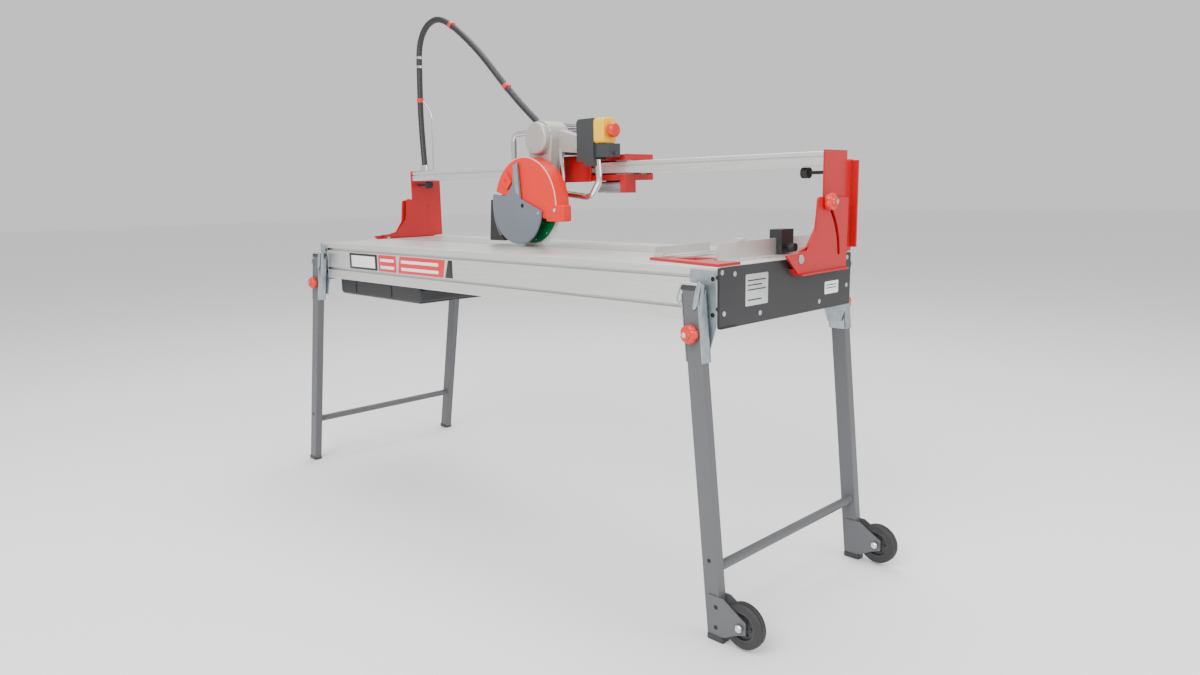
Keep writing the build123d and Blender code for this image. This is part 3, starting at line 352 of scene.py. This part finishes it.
def span_of(node):
    """The low and high corners of a CAD node as arrays."""
    low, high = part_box(node)
    return np.array(low), np.array(high)


def middle_of(node):
    """The centre of a CAD node's box."""
    low, high = span_of(node)
    return (low + high) / 2


# ---------------------------------------------------------------- camera, floor and light
EYE = Vector((1.926, -1.645, 0.959))
YAW, PITCH, ROLL = math.radians(45.65), math.radians(9.85), math.radians(-1.1)
forward = Vector((-math.sin(YAW) * math.cos(PITCH), math.cos(YAW) * math.cos(PITCH), -math.sin(PITCH)))
right = Vector((math.cos(YAW), math.sin(YAW), 0))
up = right.cross(forward)
right = right * math.cos(ROLL) + up * math.sin(ROLL)
up = right.cross(forward)
lens = bpy.data.cameras.new("camera")
lens.lens = 25.47
lens.sensor_width = 36
camera = bpy.data.objects.new("camera", lens)
camera.matrix_world = Matrix(
    [(*(right[i], up[i], -forward[i]), EYE[i]) for i in range(3)] + [(0, 0, 0, 1)]
)
bpy.context.scene.collection.objects.link(camera)
bpy.context.scene.camera = camera

FLOOR_HALF = 30.0
floor_mesh = bpy.data.meshes.new("floor")
corners = np.array([(-1, -1, 0), (1, -1, 0), (1, 1, 0), (-1, 1, 0)]) * FLOOR_HALF
floor_mesh.from_pydata(corners.tolist(), [], [(0, 1, 2, 3)])
floor = bpy.data.objects.new("floor", floor_mesh)
bpy.context.scene.collection.objects.link(floor)
floor_paint = bpy.data.materials.new("floor_paint")
floor_paint.use_nodes = True
floor_paint.node_tree.nodes["Principled BSDF"].inputs["Base Color"].default_value = (0.93, 0.93, 0.93, 1)
floor_paint.node_tree.nodes["Principled BSDF"].inputs["Roughness"].default_value = 0.75
floor_mesh.materials.append(floor_paint)

world = bpy.data.worlds.new("studio")
world.use_nodes = True
world.node_tree.nodes["Background"].inputs["Color"].default_value = (1, 1, 1, 1)
world.node_tree.nodes["Background"].inputs["Strength"].default_value = 0.85
bpy.context.scene.world = world


def lamp(name, at, towards, size, power):
    """A square soft light that faces a point."""
    data = bpy.data.lights.new(name, "AREA")
    data.size = size
    data.energy = power
    made = bpy.data.objects.new(name, data)
    made.location = at
    made.rotation_euler = (Vector(towards) - Vector(at)).to_track_quat("-Z", "Y").to_euler()
    bpy.context.scene.collection.objects.link(made)


lamp("key", (1.2, -3.6, 3.8), (0, 0, 0.7), 3.2, 260)
lamp("fill", (4.0, 0.5, 2.4), (0.4, 0, 0.7), 2.6, 80)
lamp("top", (-0.8, 1.2, 4.2), (0, 0, 0.8), 3.0, 120)

# ---------------------------------------------------------------- hose
HOSE_Y = 0.167
HOSE_ROUTE = np.array([
    (-0.850, 1.062), (-0.862, 1.215), (-0.853, 1.388), (-0.849, 1.480), (-0.817, 1.537), (-0.762, 1.566),
    (-0.697, 1.565), (-0.610, 1.519), (-0.480, 1.424), (-0.350, 1.302), (-0.222, 1.196), (-0.112, 1.119),
])
HOSE_R = 0.0108
RIDGE = 0.0007
RIDGE_PITCH = 0.0052
route = bpy.data.curves.new("hose_line", "CURVE")
route.dimensions = "3D"
spline = route.splines.new("NURBS")
spline.points.add(len(HOSE_ROUTE) - 1)
points4 = np.column_stack([HOSE_ROUTE[:, 0], np.full(len(HOSE_ROUTE), HOSE_Y), HOSE_ROUTE[:, 1],
                           np.ones(len(HOSE_ROUTE))])
spline.points.foreach_set("co", points4.ravel())
spline.order_u = 3
spline.use_endpoint_u = True
spline.resolution_u = 24
route_object = bpy.data.objects.new("hose_line", route)
line_mesh = bpy.data.meshes.new_from_object(route_object)
line = np.empty(len(line_mesh.vertices) * 3)
line_mesh.vertices.foreach_get("co", line)
line = line.reshape(-1, 3)
bpy.data.objects.remove(route_object)
bpy.data.meshes.remove(line_mesh)
steps = np.linalg.norm(np.diff(line, axis=0), axis=1)
run = np.concatenate([[0], np.cumsum(steps)])
keep = np.concatenate([[True], steps > 1e-7])
HOSE_LENGTH = float(run[-1])
stations = np.linspace(0, HOSE_LENGTH, int(HOSE_LENGTH / RIDGE_PITCH) * 5)
centre_line = np.column_stack([np.interp(stations, run[keep], line[keep][:, k]) for k in range(3)])
ridges = HOSE_R - RIDGE * (0.5 - 0.5 * np.cos(2 * np.pi * stations / RIDGE_PITCH)) ** 2
hose = tube("conduit", centre_line, ridges, "hose_moulding", "bridge", sides=18, swaps=("conduit_hose",))


def hose_at(height=None, reach=None):
    """A point of the hose's middle line and its direction, at a height on the rising part or at an X."""
    if height is not None:
        near = int(np.argmin(np.abs(centre_line[: len(centre_line) // 3, 2] - height)))
    else:
        near = int(np.argmin(np.abs(centre_line[:, 0] - reach) + (stations < 0.5 * HOSE_LENGTH) * 9))
    return centre_line[near], centre_line[near + 1] - centre_line[near - 1]


clip_profile = np.array([(-8, 0), (-8, 10.9), (-7, 12.6), (7, 12.6), (8, 10.9), (8, 0)]) * MM
for k, spot in enumerate([dict(height=1.45), dict(height=1.418)]):
    at, way = hose_at(**spot)
    turned(f"hose_clamp_{k}", clip_profile * [0.6, 1], [at], way, "polished_steel", "bridge", 28)
    turned(f"hose_clamp_screw_{k}", np.array([(0, 0), (0, 3.2), (9, 3.2), (9, 2.2), (22, 2.2), (22, 0)]) * MM,
           [at + np.array([0.008, -0.012, 0.0])], X, "polished_steel", "bridge", 12)
for k, spot in enumerate([dict(height=1.298), dict(reach=-0.668), dict(reach=-0.345)]):
    at, way = hose_at(**spot)
    turned(f"hose_clip_{k}", clip_profile, [at], way, "knob_moulding", "bridge", 28)
    bar(f"hose_clip_ear_{k}", at + np.array([0.010, -0.004, -0.005]), at + np.array([0.021, 0.004, 0.004]),
        "knob_moulding", "bridge", 1.2 * MM)

# ---------------------------------------------------------------- blade and guard
blade_mid = middle_of("blade")
BX, BY, BZ = blade_mid
BLADE_R = 0.125


def about_blade(angle, radius):
    """(x, z) of a point about the blade's axis, angles in degrees from +X towards +Z."""
    angle = np.radians(angle)
    return np.stack([BX + radius * np.cos(angle), BZ + radius * np.sin(angle)], -1)


SEGMENTS = 20
SLOT_DEG = 1.2
pitch = 360 / SEGMENTS
edges = np.array([0, SLOT_DEG - 0.05, SLOT_DEG, pitch * 0.35, pitch * 0.68, pitch - 0.05])
angles = (np.arange(SEGMENTS)[:, None] * pitch + edges[None]).ravel()
in_slot = np.tile([True, True, False, False, False, False], SEGMENTS)
radial = np.array([0, 30, 72, 108, 111, 112, 124.4, 125.0]) * MM
half_thick = np.array([0.9, 0.9, 0.9, 0.9, 0.9, 1.25, 1.25, 0.9]) * MM
reach_out = np.where(in_slot, 0.112, BLADE_R)
front = np.minimum(radial[:, None], reach_out[None])
xz = about_blade(angles[None], front)
face_y = np.broadcast_to(half_thick[:, None], front.shape)
side_a = np.stack([xz[..., 0], BY - face_y, xz[..., 1]], -1)
side_b = np.stack([xz[..., 0], BY + face_y, xz[..., 1]], -1)[::-1]
disc = np.concatenate([side_a, side_b])
disc_faces = grid_faces(*disc.shape[:2])
ring_of = disc_faces[:, 0] // disc.shape[1]
rim_band = (ring_of >= 4) & (ring_of <= 2 * len(radial) - 6)
piece("blade_disc", disc, disc_faces, ["blade_lacquer", "rim_diamond"], "blade_set", rim_band.astype(int),
      swaps=("blade",))
dots = about_blade(np.arange(12) * 30 + 7, np.full(12, 0.101))
dot_at = np.column_stack([dots[:, 0], np.full(12, BY - 0.0009), dots[:, 1]])
turned("blade_dots", np.array([(0, 0), (0, 1.7), (0.12, 1.5), (0.12, 0)]) * MM, dot_at, -Y, "label_white",
       "blade_set", 12)

rim_profile = np.array([
    (0.0, -26), (20, -26), (60, -26), (110, -26.2), (118, -26.6), (121, -28.2), (134, -28.4), (138, -27.2),
    (140, -24), (140, -8), (140, 10), (140, 22), (138.6, 25.2), (135, 26), (90, 26), (45, 26), (0, 26),
    (0, 23), (45, 23), (90, 23), (134, 23), (137, 20), (137, 0), (137, -20), (134, -23), (60, -23), (0, -23),
]) * MM
GUARD_ARC = (-12, 162)
arc = np.linspace(*GUARD_ARC, 88)
xz = about_blade(arc[:, None], np.broadcast_to(rim_profile[:, 0], (len(arc), len(rim_profile))))
shell = np.stack([xz[..., 0], np.broadcast_to(rim_profile[:, 1], xz.shape[:2]), xz[..., 1]], -1)
rows, cols = shell.shape[:2]
shell_faces = grid_faces(rows, cols).tolist() + [list(range(cols)),
                                                 list(range((rows - 1) * cols, rows * cols))]
piece("guard_shell", shell, shell_faces, ["guard_moulding"], "head", sharp=30, swaps=("guard_housing",))
# A thin pale strip laid along the guard's outer rim; its colour is a painted highlight standing in for the
# rim's glint.
highlight_line = about_blade(np.linspace(-8, 128, 90), np.full(90, 0.1395))
tube("guard_rim_highlight_strip", np.column_stack([highlight_line[:, 0], np.full(90, -0.0262), highlight_line[:, 1]]), 0.0019,
     "guard_rim_painted_highlight", "head", sides=10)
bar("guard_nozzle", (0.060, -0.0285, 0.8725), (0.134, 0.004, 0.9195), "guard_moulding", "head", 3 * MM,
    round_by=0.007)
slab("guard_nozzle_neck", [(0.040, 0.882), (0.100, 0.876), (0.110, 0.914), (0.082, 0.934), (0.050, 0.926)],
     "y",
     (-0.0275, 0.024), "guard_moulding", "head", 2.5 * MM, round_by=0.008)
boss = about_blade(np.array([135.0]), np.array([0.106]))[0]
slab("guard_lug", about_blade(np.linspace(126, 146, 9).tolist() + np.linspace(146, 126, 9).tolist(),
                              np.array([0.084] * 9 + [0.126] * 9)), "y", (-0.0362, -0.0255),
                              "guard_moulding", "head",
     2.4 * MM)
for name, at in (("guard_lug_bolt", (boss[0], -0.0362, boss[1])),
                 ("guard_nozzle_bolt", (0.098, -0.0285, 0.905))):
    turned(name, np.array([(0, 0), (0, 5.4), (2.4, 5.4), (3, 4.6), (3, 2.6), (1.4, 2.4), (1.4, 0)]) * MM,
           [at], -Y,
           "knob_moulding" if "lug" in name else "polished_steel", "head", 24)

# ---------------------------------------------------------------- swinging flap of the guard
FLAP_FRONT, FLAP_BACK = -0.0330, -0.0289


def arc_through(a, b, c, count=14):
    """Points of the circle through three points, from the first to the last."""
    a, b, c = (np.asarray(p, float) for p in (a, b, c))
    d = 2 * (a[0] * (b[1] - c[1]) + b[0] * (c[1] - a[1]) + c[0] * (a[1] - b[1]))
    sq = [p @ p for p in (a, b, c)]
    centre = np.array([
        (sq[0] * (b[1] - c[1]) + sq[1] * (c[1] - a[1]) + sq[2] * (a[1] - b[1])) / d,
        (sq[0] * (c[0] - b[0]) + sq[1] * (a[0] - c[0]) + sq[2] * (b[0] - a[0])) / d,
    ])
    r = np.linalg.norm(a - centre)
    start, mid, end = (math.atan2(*(p - centre)[::-1]) for p in (a, b, c))
    turn = (end - start) % (2 * math.pi)
    if (mid - start) % (2 * math.pi) > turn:
        turn -= 2 * math.pi
    angle = start + turn * np.linspace(0, 1, count)
    return centre + r * np.stack([np.cos(angle), np.sin(angle)], 1)


tip = (BX + 0.084, BZ - 0.016)
bottom = (BX - 0.046, BZ - 0.112)
outer_left = about_blade(180, 0.1455)
plate = np.concatenate([
    arc_through(tip, (BX + 0.058, BZ - 0.078), bottom, 22)[:-1],
    arc_through(bottom, about_blade(212, 0.138), outer_left, 22)[:-1],
    arc_through(outer_left, about_blade(173, 0.1455), about_blade(166, 0.1455), 6),
    [about_blade(160, 0.084), about_blade(127, 0.080), about_blade(108, 0.128), about_blade(99, 0.128),
     (BX - 0.010, BZ + 0.020)],
])
slab("flap_plate", plate[::-1], "y", (FLAP_BACK - 0.0026, FLAP_BACK), "guard_flap_moulding", "flap", 0.9 * MM,
     swaps=("guard_flap",))
seam = arc_through(about_blade(128, 0.076), (BX - 0.047, BZ - 0.010), (BX - 0.038, BZ - 0.108), 26)
front_leaf = np.concatenate([
    arc_through(tip, (BX + 0.058, BZ - 0.078), bottom, 22)[:-1], seam[::-1][1:],
    [about_blade(108, 0.126), about_blade(99, 0.126), (BX - 0.010, BZ + 0.020)],
])
slab("flap_front_leaf", inset(front_leaf[::-1], 0.0012), "y", (FLAP_FRONT - 0.0012, FLAP_BACK - 0.0026),
     "guard_flap_moulding", "flap", 0.9 * MM)
rim_arc = np.linspace(172, 218, 26)
rim_cut = np.array([(0.1425, FLAP_BACK - 0.002), (0.1455, FLAP_BACK - 0.002), (0.1455, 0.029),
                    (0.1425, 0.029)])
xz = about_blade(rim_arc[:, None], np.broadcast_to(rim_cut[:, 0], (26, 4)))
rim = np.stack([xz[..., 0], np.broadcast_to(rim_cut[:, 1], (26, 4)), xz[..., 1]], -1)
piece("flap_rim", rim, grid_faces(26, 4).tolist() + [[0, 1, 2, 3], [100, 101, 102, 103]],
      ["guard_flap_moulding"],
      "flap")
# The pivot ring and its recess are near black: painted shade of the pivot's bore.
turned("flap_pivot", np.array([(0, 0), (0, 6.5), (1.2, 6.2), (1.2, 4), (0.2, 3.6), (0.2, 0)]) * MM,
       [(BX, FLAP_FRONT - 0.0012, BZ)], -Y, "bore_shade_black", "flap", 26)
turned("flap_tip_screw", np.array([(0, 0), (0, 4.6), (1.6, 4.2), (2.2, 2.4), (2.2, 0)]) * MM,
       [(BX + 0.070, FLAP_FRONT - 0.001, BZ - 0.021)], -Y, "polished_steel", "flap", 20)
link_strip = np.array([about_blade(108, 0.124), about_blade(99, 0.124), (BX - 0.012, BZ + 0.030),
                       (BX - 0.030, BZ + 0.040)])
slab("flap_link", link_strip, "y", (FLAP_FRONT - 0.0026, FLAP_FRONT - 0.0012), "zinc_plate", "flap", 0.5 * MM)

# ---------------------------------------------------------------- knobs
KNOB_PROFILE = np.array([
    (0, 0), (0, 14), (1.5, 18.6), (4, 20.4), (9, 20.8), (14, 20.0), (17, 17.6), (18, 14), (18.4, 11.6),
    (21, 11.0),
    (23.4, 9.6), (24, 6.2), (24, 0),
]) * MM


def knob_lobes(angle):
    """Five lobes, as a share of the radius: wide crowns with narrow hollows."""
    return 0.86 + 0.14 * np.abs(np.cos(2.5 * angle)) ** 0.7


for node in [n for n in nodes if n.startswith("knob_") or n.endswith("tilt_knob")]:
    low, high = span_of(node)
    mid = (low + high) / 2
    body = {m: b for b, ms in frame["record"]["behaviour"]["bodies"].items() for m in ms}[node]
    if "tilt" in node:
        way = X if mid[0] > 0 else -X
        seat = np.array([low[0] if mid[0] > 0 else high[0], mid[1], mid[2]])
    else:
        way = Y if mid[1] > 0 else -Y
        seat = np.array([mid[0], low[1] if mid[1] > 0 else high[1], mid[2]])
    turned(node + "_grip", KNOB_PROFILE, [seat], way, "knob_moulding", body, 80, knob_lobes, 45, (node,))
    turned(node + "_nut", np.array([(24, 0), (24, 5.4), (26, 5.4), (26, 0)]) * MM, [seat], way,
           "polished_steel",
           body, 24, hexagon)

# ---------------------------------------------------------------- wheels
TYRE = np.array([
    (-11.6, 33.6), (-11.6, 44), (-10.6, 47.4), (-8.4, 49.3), (-5.2, 49.7), (-4.8, 48.4), (-3.6, 48.4),
    (-3.2, 50),
    (3.2, 50), (3.6, 48.4), (4.8, 48.4), (5.2, 49.7), (8.4, 49.3), (10.6, 47.4), (11.6, 44), (11.6, 33.6),
]) * MM
HUB = np.array([
    (-11.6, 5.1), (-11.6, 12), (-6, 13), (-5, 15), (-5, 27), (-10.6, 29), (-10.8, 33.6), (10.8, 33.6),
    (10.6, 29),
    (5, 27), (5, 15), (6, 13), (11.6, 12), (11.6, 5.1),
]) * MM
for node, body in (("front_wheel", "wheel_front"), ("rear_wheel", "wheel_rear")):
    mid = middle_of(node)
    for part, profile, look, swap in (("tyre", TYRE, "tyre_rubber", (node,)),
                                      ("hub", HUB, "wheel_moulding", ())):
        points = turned_points(profile, [mid], Y, 72)
        piece(f"{node}_{part}", points, grid_faces(len(profile), 72, wrap_rows=True), [look], body,
              swaps=swap)
    turn = np.arange(6) * np.pi / 3
    ribs = [mid + np.array([0.0205 * math.cos(t), 0, 0.0205 * math.sin(t)]) for t in turn]
    turned(f"{node}_ribs", np.array([(-9, 0), (-9, 3), (9, 3), (9, 0)]) * MM, ribs, Y, "wheel_moulding",
           body, 10)

# ---------------------------------------------------------------- bolts
CAP_BOLT = np.array([(0, 0), (0, 6.2), (2.2, 6.2), (3, 5.4), (3, 3.2), (1.6, 3.0), (1.6, 0)]) * MM
HEX_BOLT = np.array([(0, 0), (0, 8), (1, 8), (1, 5.6), (4.6, 5.6), (5, 5), (5, 0)]) * MM
right_face = span_of("right_end_plate")[1][0]
left_face = span_of("left_end_plate")[0][0]
front_face = span_of("front_profile")[0][1]
PLATE_SCREWS = np.array([(-0.248, 0.702), (-0.255, 0.788), (-0.212, 0.782), (0.243, 0.718), (0.243, 0.786),
                         (-0.120, 0.690), (0.120, 0.690)])
LOW_SCREW = np.array([(0.0, 0.0), (0.0, 5.5), (0.7, 5.4), (1.15, 4.0), (1.15, 1.6), (0.5, 1.4),
                      (0.5, 0)]) * MM
for face, way, label in ((right_face, X, "right"), (left_face, -X, "left")):
    places = np.column_stack([np.full(len(PLATE_SCREWS), face), PLATE_SCREWS])
    turned(f"{label}_plate_screws", LOW_SCREW, places, way, "polished_steel", "frame", 20)
motor_mid = middle_of("motor_housing")
ring = np.linspace(0, 2 * np.pi, 5, endpoint=False) + 0.3
case_bolts = [(motor_mid[0] + 0.0495 * math.cos(t), 0.029, motor_mid[2] + 0.0495 * math.sin(t)) for t in ring]
lower = [(BX - 0.036, 0.029, BZ + 0.03), (BX + 0.036, 0.029, BZ + 0.05), (BX + 0.034, 0.029, BZ + 0.005)]
turned("case_bolts", CAP_BOLT * 0.7, case_bolts + lower, -Y, "turned_steel", "head", 20)

# ---------------------------------------------------------------- leg channels, latches and feet
LEGS = {"left": (-0.852, -0.980), "right": (0.822, 0.885)}
PIVOT_Z = 0.664
LEG_HALF = 0.020
LEG_BACK, LEG_FACE = 0.2745, 0.2995


def leg_x(z, leg):
    """The middle of a slanted leg at a height: a straight line from foot to pivot."""
    pivot, foot = LEGS[leg]
    return foot + (pivot - foot) * np.asarray(z) / PIVOT_Z


def leg_strip(leg, low, high, left, right):
    """A strip along a leg between two heights and two offsets from its middle."""
    z = np.array([low, low, high, high])
    return np.column_stack([leg_x(z, leg) + np.array([left, right, right, left]), z])


for leg in LEGS:
    legs = f"{leg}_legs"
    swap = (f"{leg}_leg_fittings",)
    pivot, foot = LEGS[leg]
    for row, s in (("front", -1), ("rear", 1)):
        where = f"{leg}_{row}"
        inner = sorted((s * (LEG_BACK - 0.003), s * LEG_BACK))
        deep = sorted((s * (LEG_BACK - 0.003), s * (LEG_FACE + 0.0005)))
        outer = sorted((s * LEG_FACE, s * (LEG_FACE + 0.004)))
        slab(f"{where}_channel_back", leg_strip(leg, 0.602, 0.752, -LEG_HALF - 0.0028, LEG_HALF + 0.0028),
             "y", inner,
             "zinc_plate", legs, 0.6 * MM, swaps=swap)
        swap = ()
        for edge_name, a, b in (("left", -LEG_HALF - 0.0028, -LEG_HALF),
                                ("right", LEG_HALF, LEG_HALF + 0.0028)):
            slab(f"{where}_channel_{edge_name}", leg_strip(leg, 0.602, 0.744, a, b), "y", deep, "zinc_plate",
                 legs,
                 0.5 * MM)
        bar(f"{where}_foot", (foot - 0.0215, *sorted((s * 0.273, s * 0.301))[:1], 0.0005),
            (foot + 0.0215, sorted((s * 0.273, s * 0.301))[1], 0.014), "wheel_moulding", legs, 2 * MM, "z",
            0.004)
        slab(f"{where}_cap", leg_strip(leg, 0.752, 0.7625, -LEG_HALF - 0.0012, LEG_HALF + 0.0012), "y",
             sorted((s * (LEG_BACK - 0.0012), s * (LEG_FACE + 0.0012))), "wheel_moulding", legs, 1.6 * MM)
        at_face = np.array([pivot, s * LEG_FACE, PIVOT_Z])
        turned(f"{where}_collar", np.array([(0, 5.4), (0, 13), (1.6, 13), (1.8, 8.5), (3.9, 8.5),
                                            (3.9, 5.4)]) * MM,
               [at_face], s * Y, "polished_steel", legs, 28)
        # Thin near-black discs laid on the leg face in place of its adjustment holes: painted shade, not a
        # surface colour.
        hole_z = np.array([0.178, 0.206])
        hole_shade_discs = np.column_stack([leg_x(hole_z, leg), np.full(2, s * LEG_FACE), hole_z])
        turned(f"{where}_holes", np.array([(0, 0), (0.05, 4.2), (0.5, 4.6), (0.5, 3.4), (0.15, 3.2),
                                           (0.15, 0)]) * MM,
               hole_shade_discs[:1], s * Y, "bore_shade_black", legs, 20)
        latch_y = s * (LEG_FACE + 0.0022)
        top = 0.762
        hook = softened([(leg_x(top, leg) - 0.016, latch_y, top + 0.006),
                         (leg_x(top, leg) - 0.023, latch_y, top - 0.012),
                         (leg_x(top, leg) - 0.030, latch_y, top - 0.030),
                         (leg_x(top, leg) - 0.024, latch_y, top - 0.040),
                         (leg_x(top, leg) - 0.019, latch_y, top - 0.031)], 0.008, 5, closed=False)
        tube(f"{where}_hook", hook, 0.0017, "zinc_plate", legs, sides=10)
        pin = np.array([(leg_x(top, leg) - 0.021, latch_y, top + 0.004),
                        (leg_x(top, leg), latch_y, top + 0.0045),
                        (leg_x(top, leg) + 0.027, latch_y, top + 0.004)])
        tube(f"{where}_latch_pin", pin, 0.0026, "polished_steel", legs, side=(0, 1, 0), sides=12)
        lever_x = float(leg_x(top, leg)) + 0.024
        lever = [(lever_x + 0.004, top + 0.012), (lever_x + 0.010, top + 0.006),
                 (lever_x - 0.002, top - 0.046),
                 (lever_x - 0.010, top - 0.050), (lever_x - 0.011, top - 0.040),
                 (lever_x - 0.004, top - 0.008)]
        slab(f"{where}_lever", lever, "y", outer, "zinc_plate", legs, 0.8 * MM, 0.004)
        blade_strip = [(lever_x + 0.002, top + 0.004), (lever_x + 0.0085, top + 0.003),
                       (lever_x + 0.004, top - 0.075), (lever_x - 0.003, top - 0.075)]
        slab(f"{where}_lever_spring", blade_strip, "y", sorted((s * (LEG_FACE - 0.012),
                                                                s * (LEG_FACE - 0.002))),
             "zinc_plate", legs, 0.8 * MM)
        spots = np.array([(pivot + 0.0, s * 0.2655, 0.752), (pivot + (0.027 if leg == "right" else 0.028),
                                                             s * 0.2655, 0.70),
                          (pivot + (0.027 if leg == "right" else 0.028), s * 0.2655, 0.775)])
        turned(f"{where}_bracket_bolts", LOW_SCREW * 0.9, spots[1:], s * Y, "bolt_black", "frame", 18)
for leg in LEGS:
    ends = np.array([(leg_x(0.155, leg), -LEG_BACK, 0.155), (leg_x(0.155, leg), LEG_BACK, 0.155)])
    for at, way, k in ((ends[0], Y, 0), (ends[1], -Y, 1)):
        turned(f"{leg}_crossbar_weld_{k}", np.array([(0.1, 0), (0.1, 13.2), (1.2, 12.8), (2.6, 11.6),
                                                     (3.2, 11.05),
                                                     (3.2, 0)]) * MM, [at], way, "leg_powder", f"{leg}_legs",
                                                     30)

# ---------------------------------------------------------------- wheel forks: axle nuts
for row, s in (("front", -1), ("rear", 1)):
    axle = middle_of(f"{row}_wheel")
    for k, (face, way) in enumerate(((LEG_FACE + 0.008, s), (LEG_BACK - 0.008, -s))):
        at = np.array([axle[0], s * face, axle[2]])
        turned(f"{row}_axle_nut_{k}", HEX_BOLT, [at], way * Y, "polished_steel", "right_legs", 24, hexagon)
    for k, (dx, dz) in enumerate(((0.889, 0.080), (0.889, 0.034))):
        turned(f"{row}_fork_bolt_{k}", LOW_SCREW * 0.9, [(dx, s * (LEG_FACE + 0.003), dz)], s * Y,
               "bolt_black",
               "right_legs", 18)

# ---------------------------------------------------------------- plain badges on the front profile
def badge(name, corners, finish_name, layer=0, body="frame"):
    """A thin decal on the front profile; corners are (x, z) and layers lie on each other."""
    base = front_face - 0.0004 * layer
    slab(name, corners, "y", (base - 0.0005, base), finish_name, body, 0.12 * MM, 0.0015)


BADGE_LOW, BADGE_HIGH = 0.7190, 0.7705


def leaning(x0, x1, z0=BADGE_LOW, z1=BADGE_HIGH, lean=0.012):
    """A parallelogram that leans with its height."""
    return [(x0, z0), (x1, z0), (x1 + lean * (z1 - z0) / 0.05, z1), (x0 + lean * (z1 - z0) / 0.05, z1)]


badge("badge_dark_ground", leaning(-0.668, -0.492, lean=0.0), "label_dark")
badge("badge_dark_block", leaning(-0.654, -0.506, 0.7265, 0.763, 0.0), "label_white", 1)
badge("badge_red_ground", leaning(-0.484, -0.380, lean=0.0), "label_red")
for k, z in enumerate((0.728, 0.750)):
    badge(f"badge_red_rule_{k}", leaning(-0.472, -0.392, z, z + 0.009, 0.0), "label_white", 1)
badge("badge_long_ground", leaning(-0.370, -0.128), "label_red")
for k, z in enumerate((0.728, 0.750)):
    badge(f"badge_long_rule_{k}", leaning(-0.350, -0.150, z, z + 0.009, 0.0), "label_white", 1)
badge("badge_corner", [(-0.118, 0.7195), (-0.080, 0.7195), (-0.080, 0.7705), (-0.100, 0.7705)], "label_dark")

# ---------------------------------------------------------------- plates and labels on the end
def end_label(name, y, z, finish_name, layer=0, x=None, body="frame", round_by=0.003):
    """A thin plate on an end face, from (low, high) pairs in Y and Z."""
    base = (right_face if x is None else x) + 0.0004 * layer
    outline = [(y[0], z[0]), (y[1], z[0]), (y[1], z[1]), (y[0], z[1])]
    slab(name, outline, "x", (base, base + 0.0005), finish_name, body, 0.12 * MM, round_by)


end_label("rating_plate", (-0.173, -0.091), (0.709, 0.777), "label_silver")
for k, z in enumerate((0.762, 0.752, 0.742, 0.720)):
    end_label(f"rating_rule_{k}", (-0.166, -0.100 - 0.014 * (k % 2)), (z, z + 0.0028), "label_dark", 1,
              round_by=0.0006)
end_label("small_label", (0.144, 0.205), (0.704, 0.734), "label_white")
for k, z in enumerate((0.724, 0.717)):
    end_label(f"small_label_rule_{k}", (0.149, 0.196), (z, z + 0.0022), "label_dark", 1, round_by=0.0006)
bar("end_plate_tab", (right_face - 0.0055, -0.262, 0.6705), (right_face + 0.003, -0.205, 0.6730),
    "black_powder",
    "frame", 0.8 * MM)
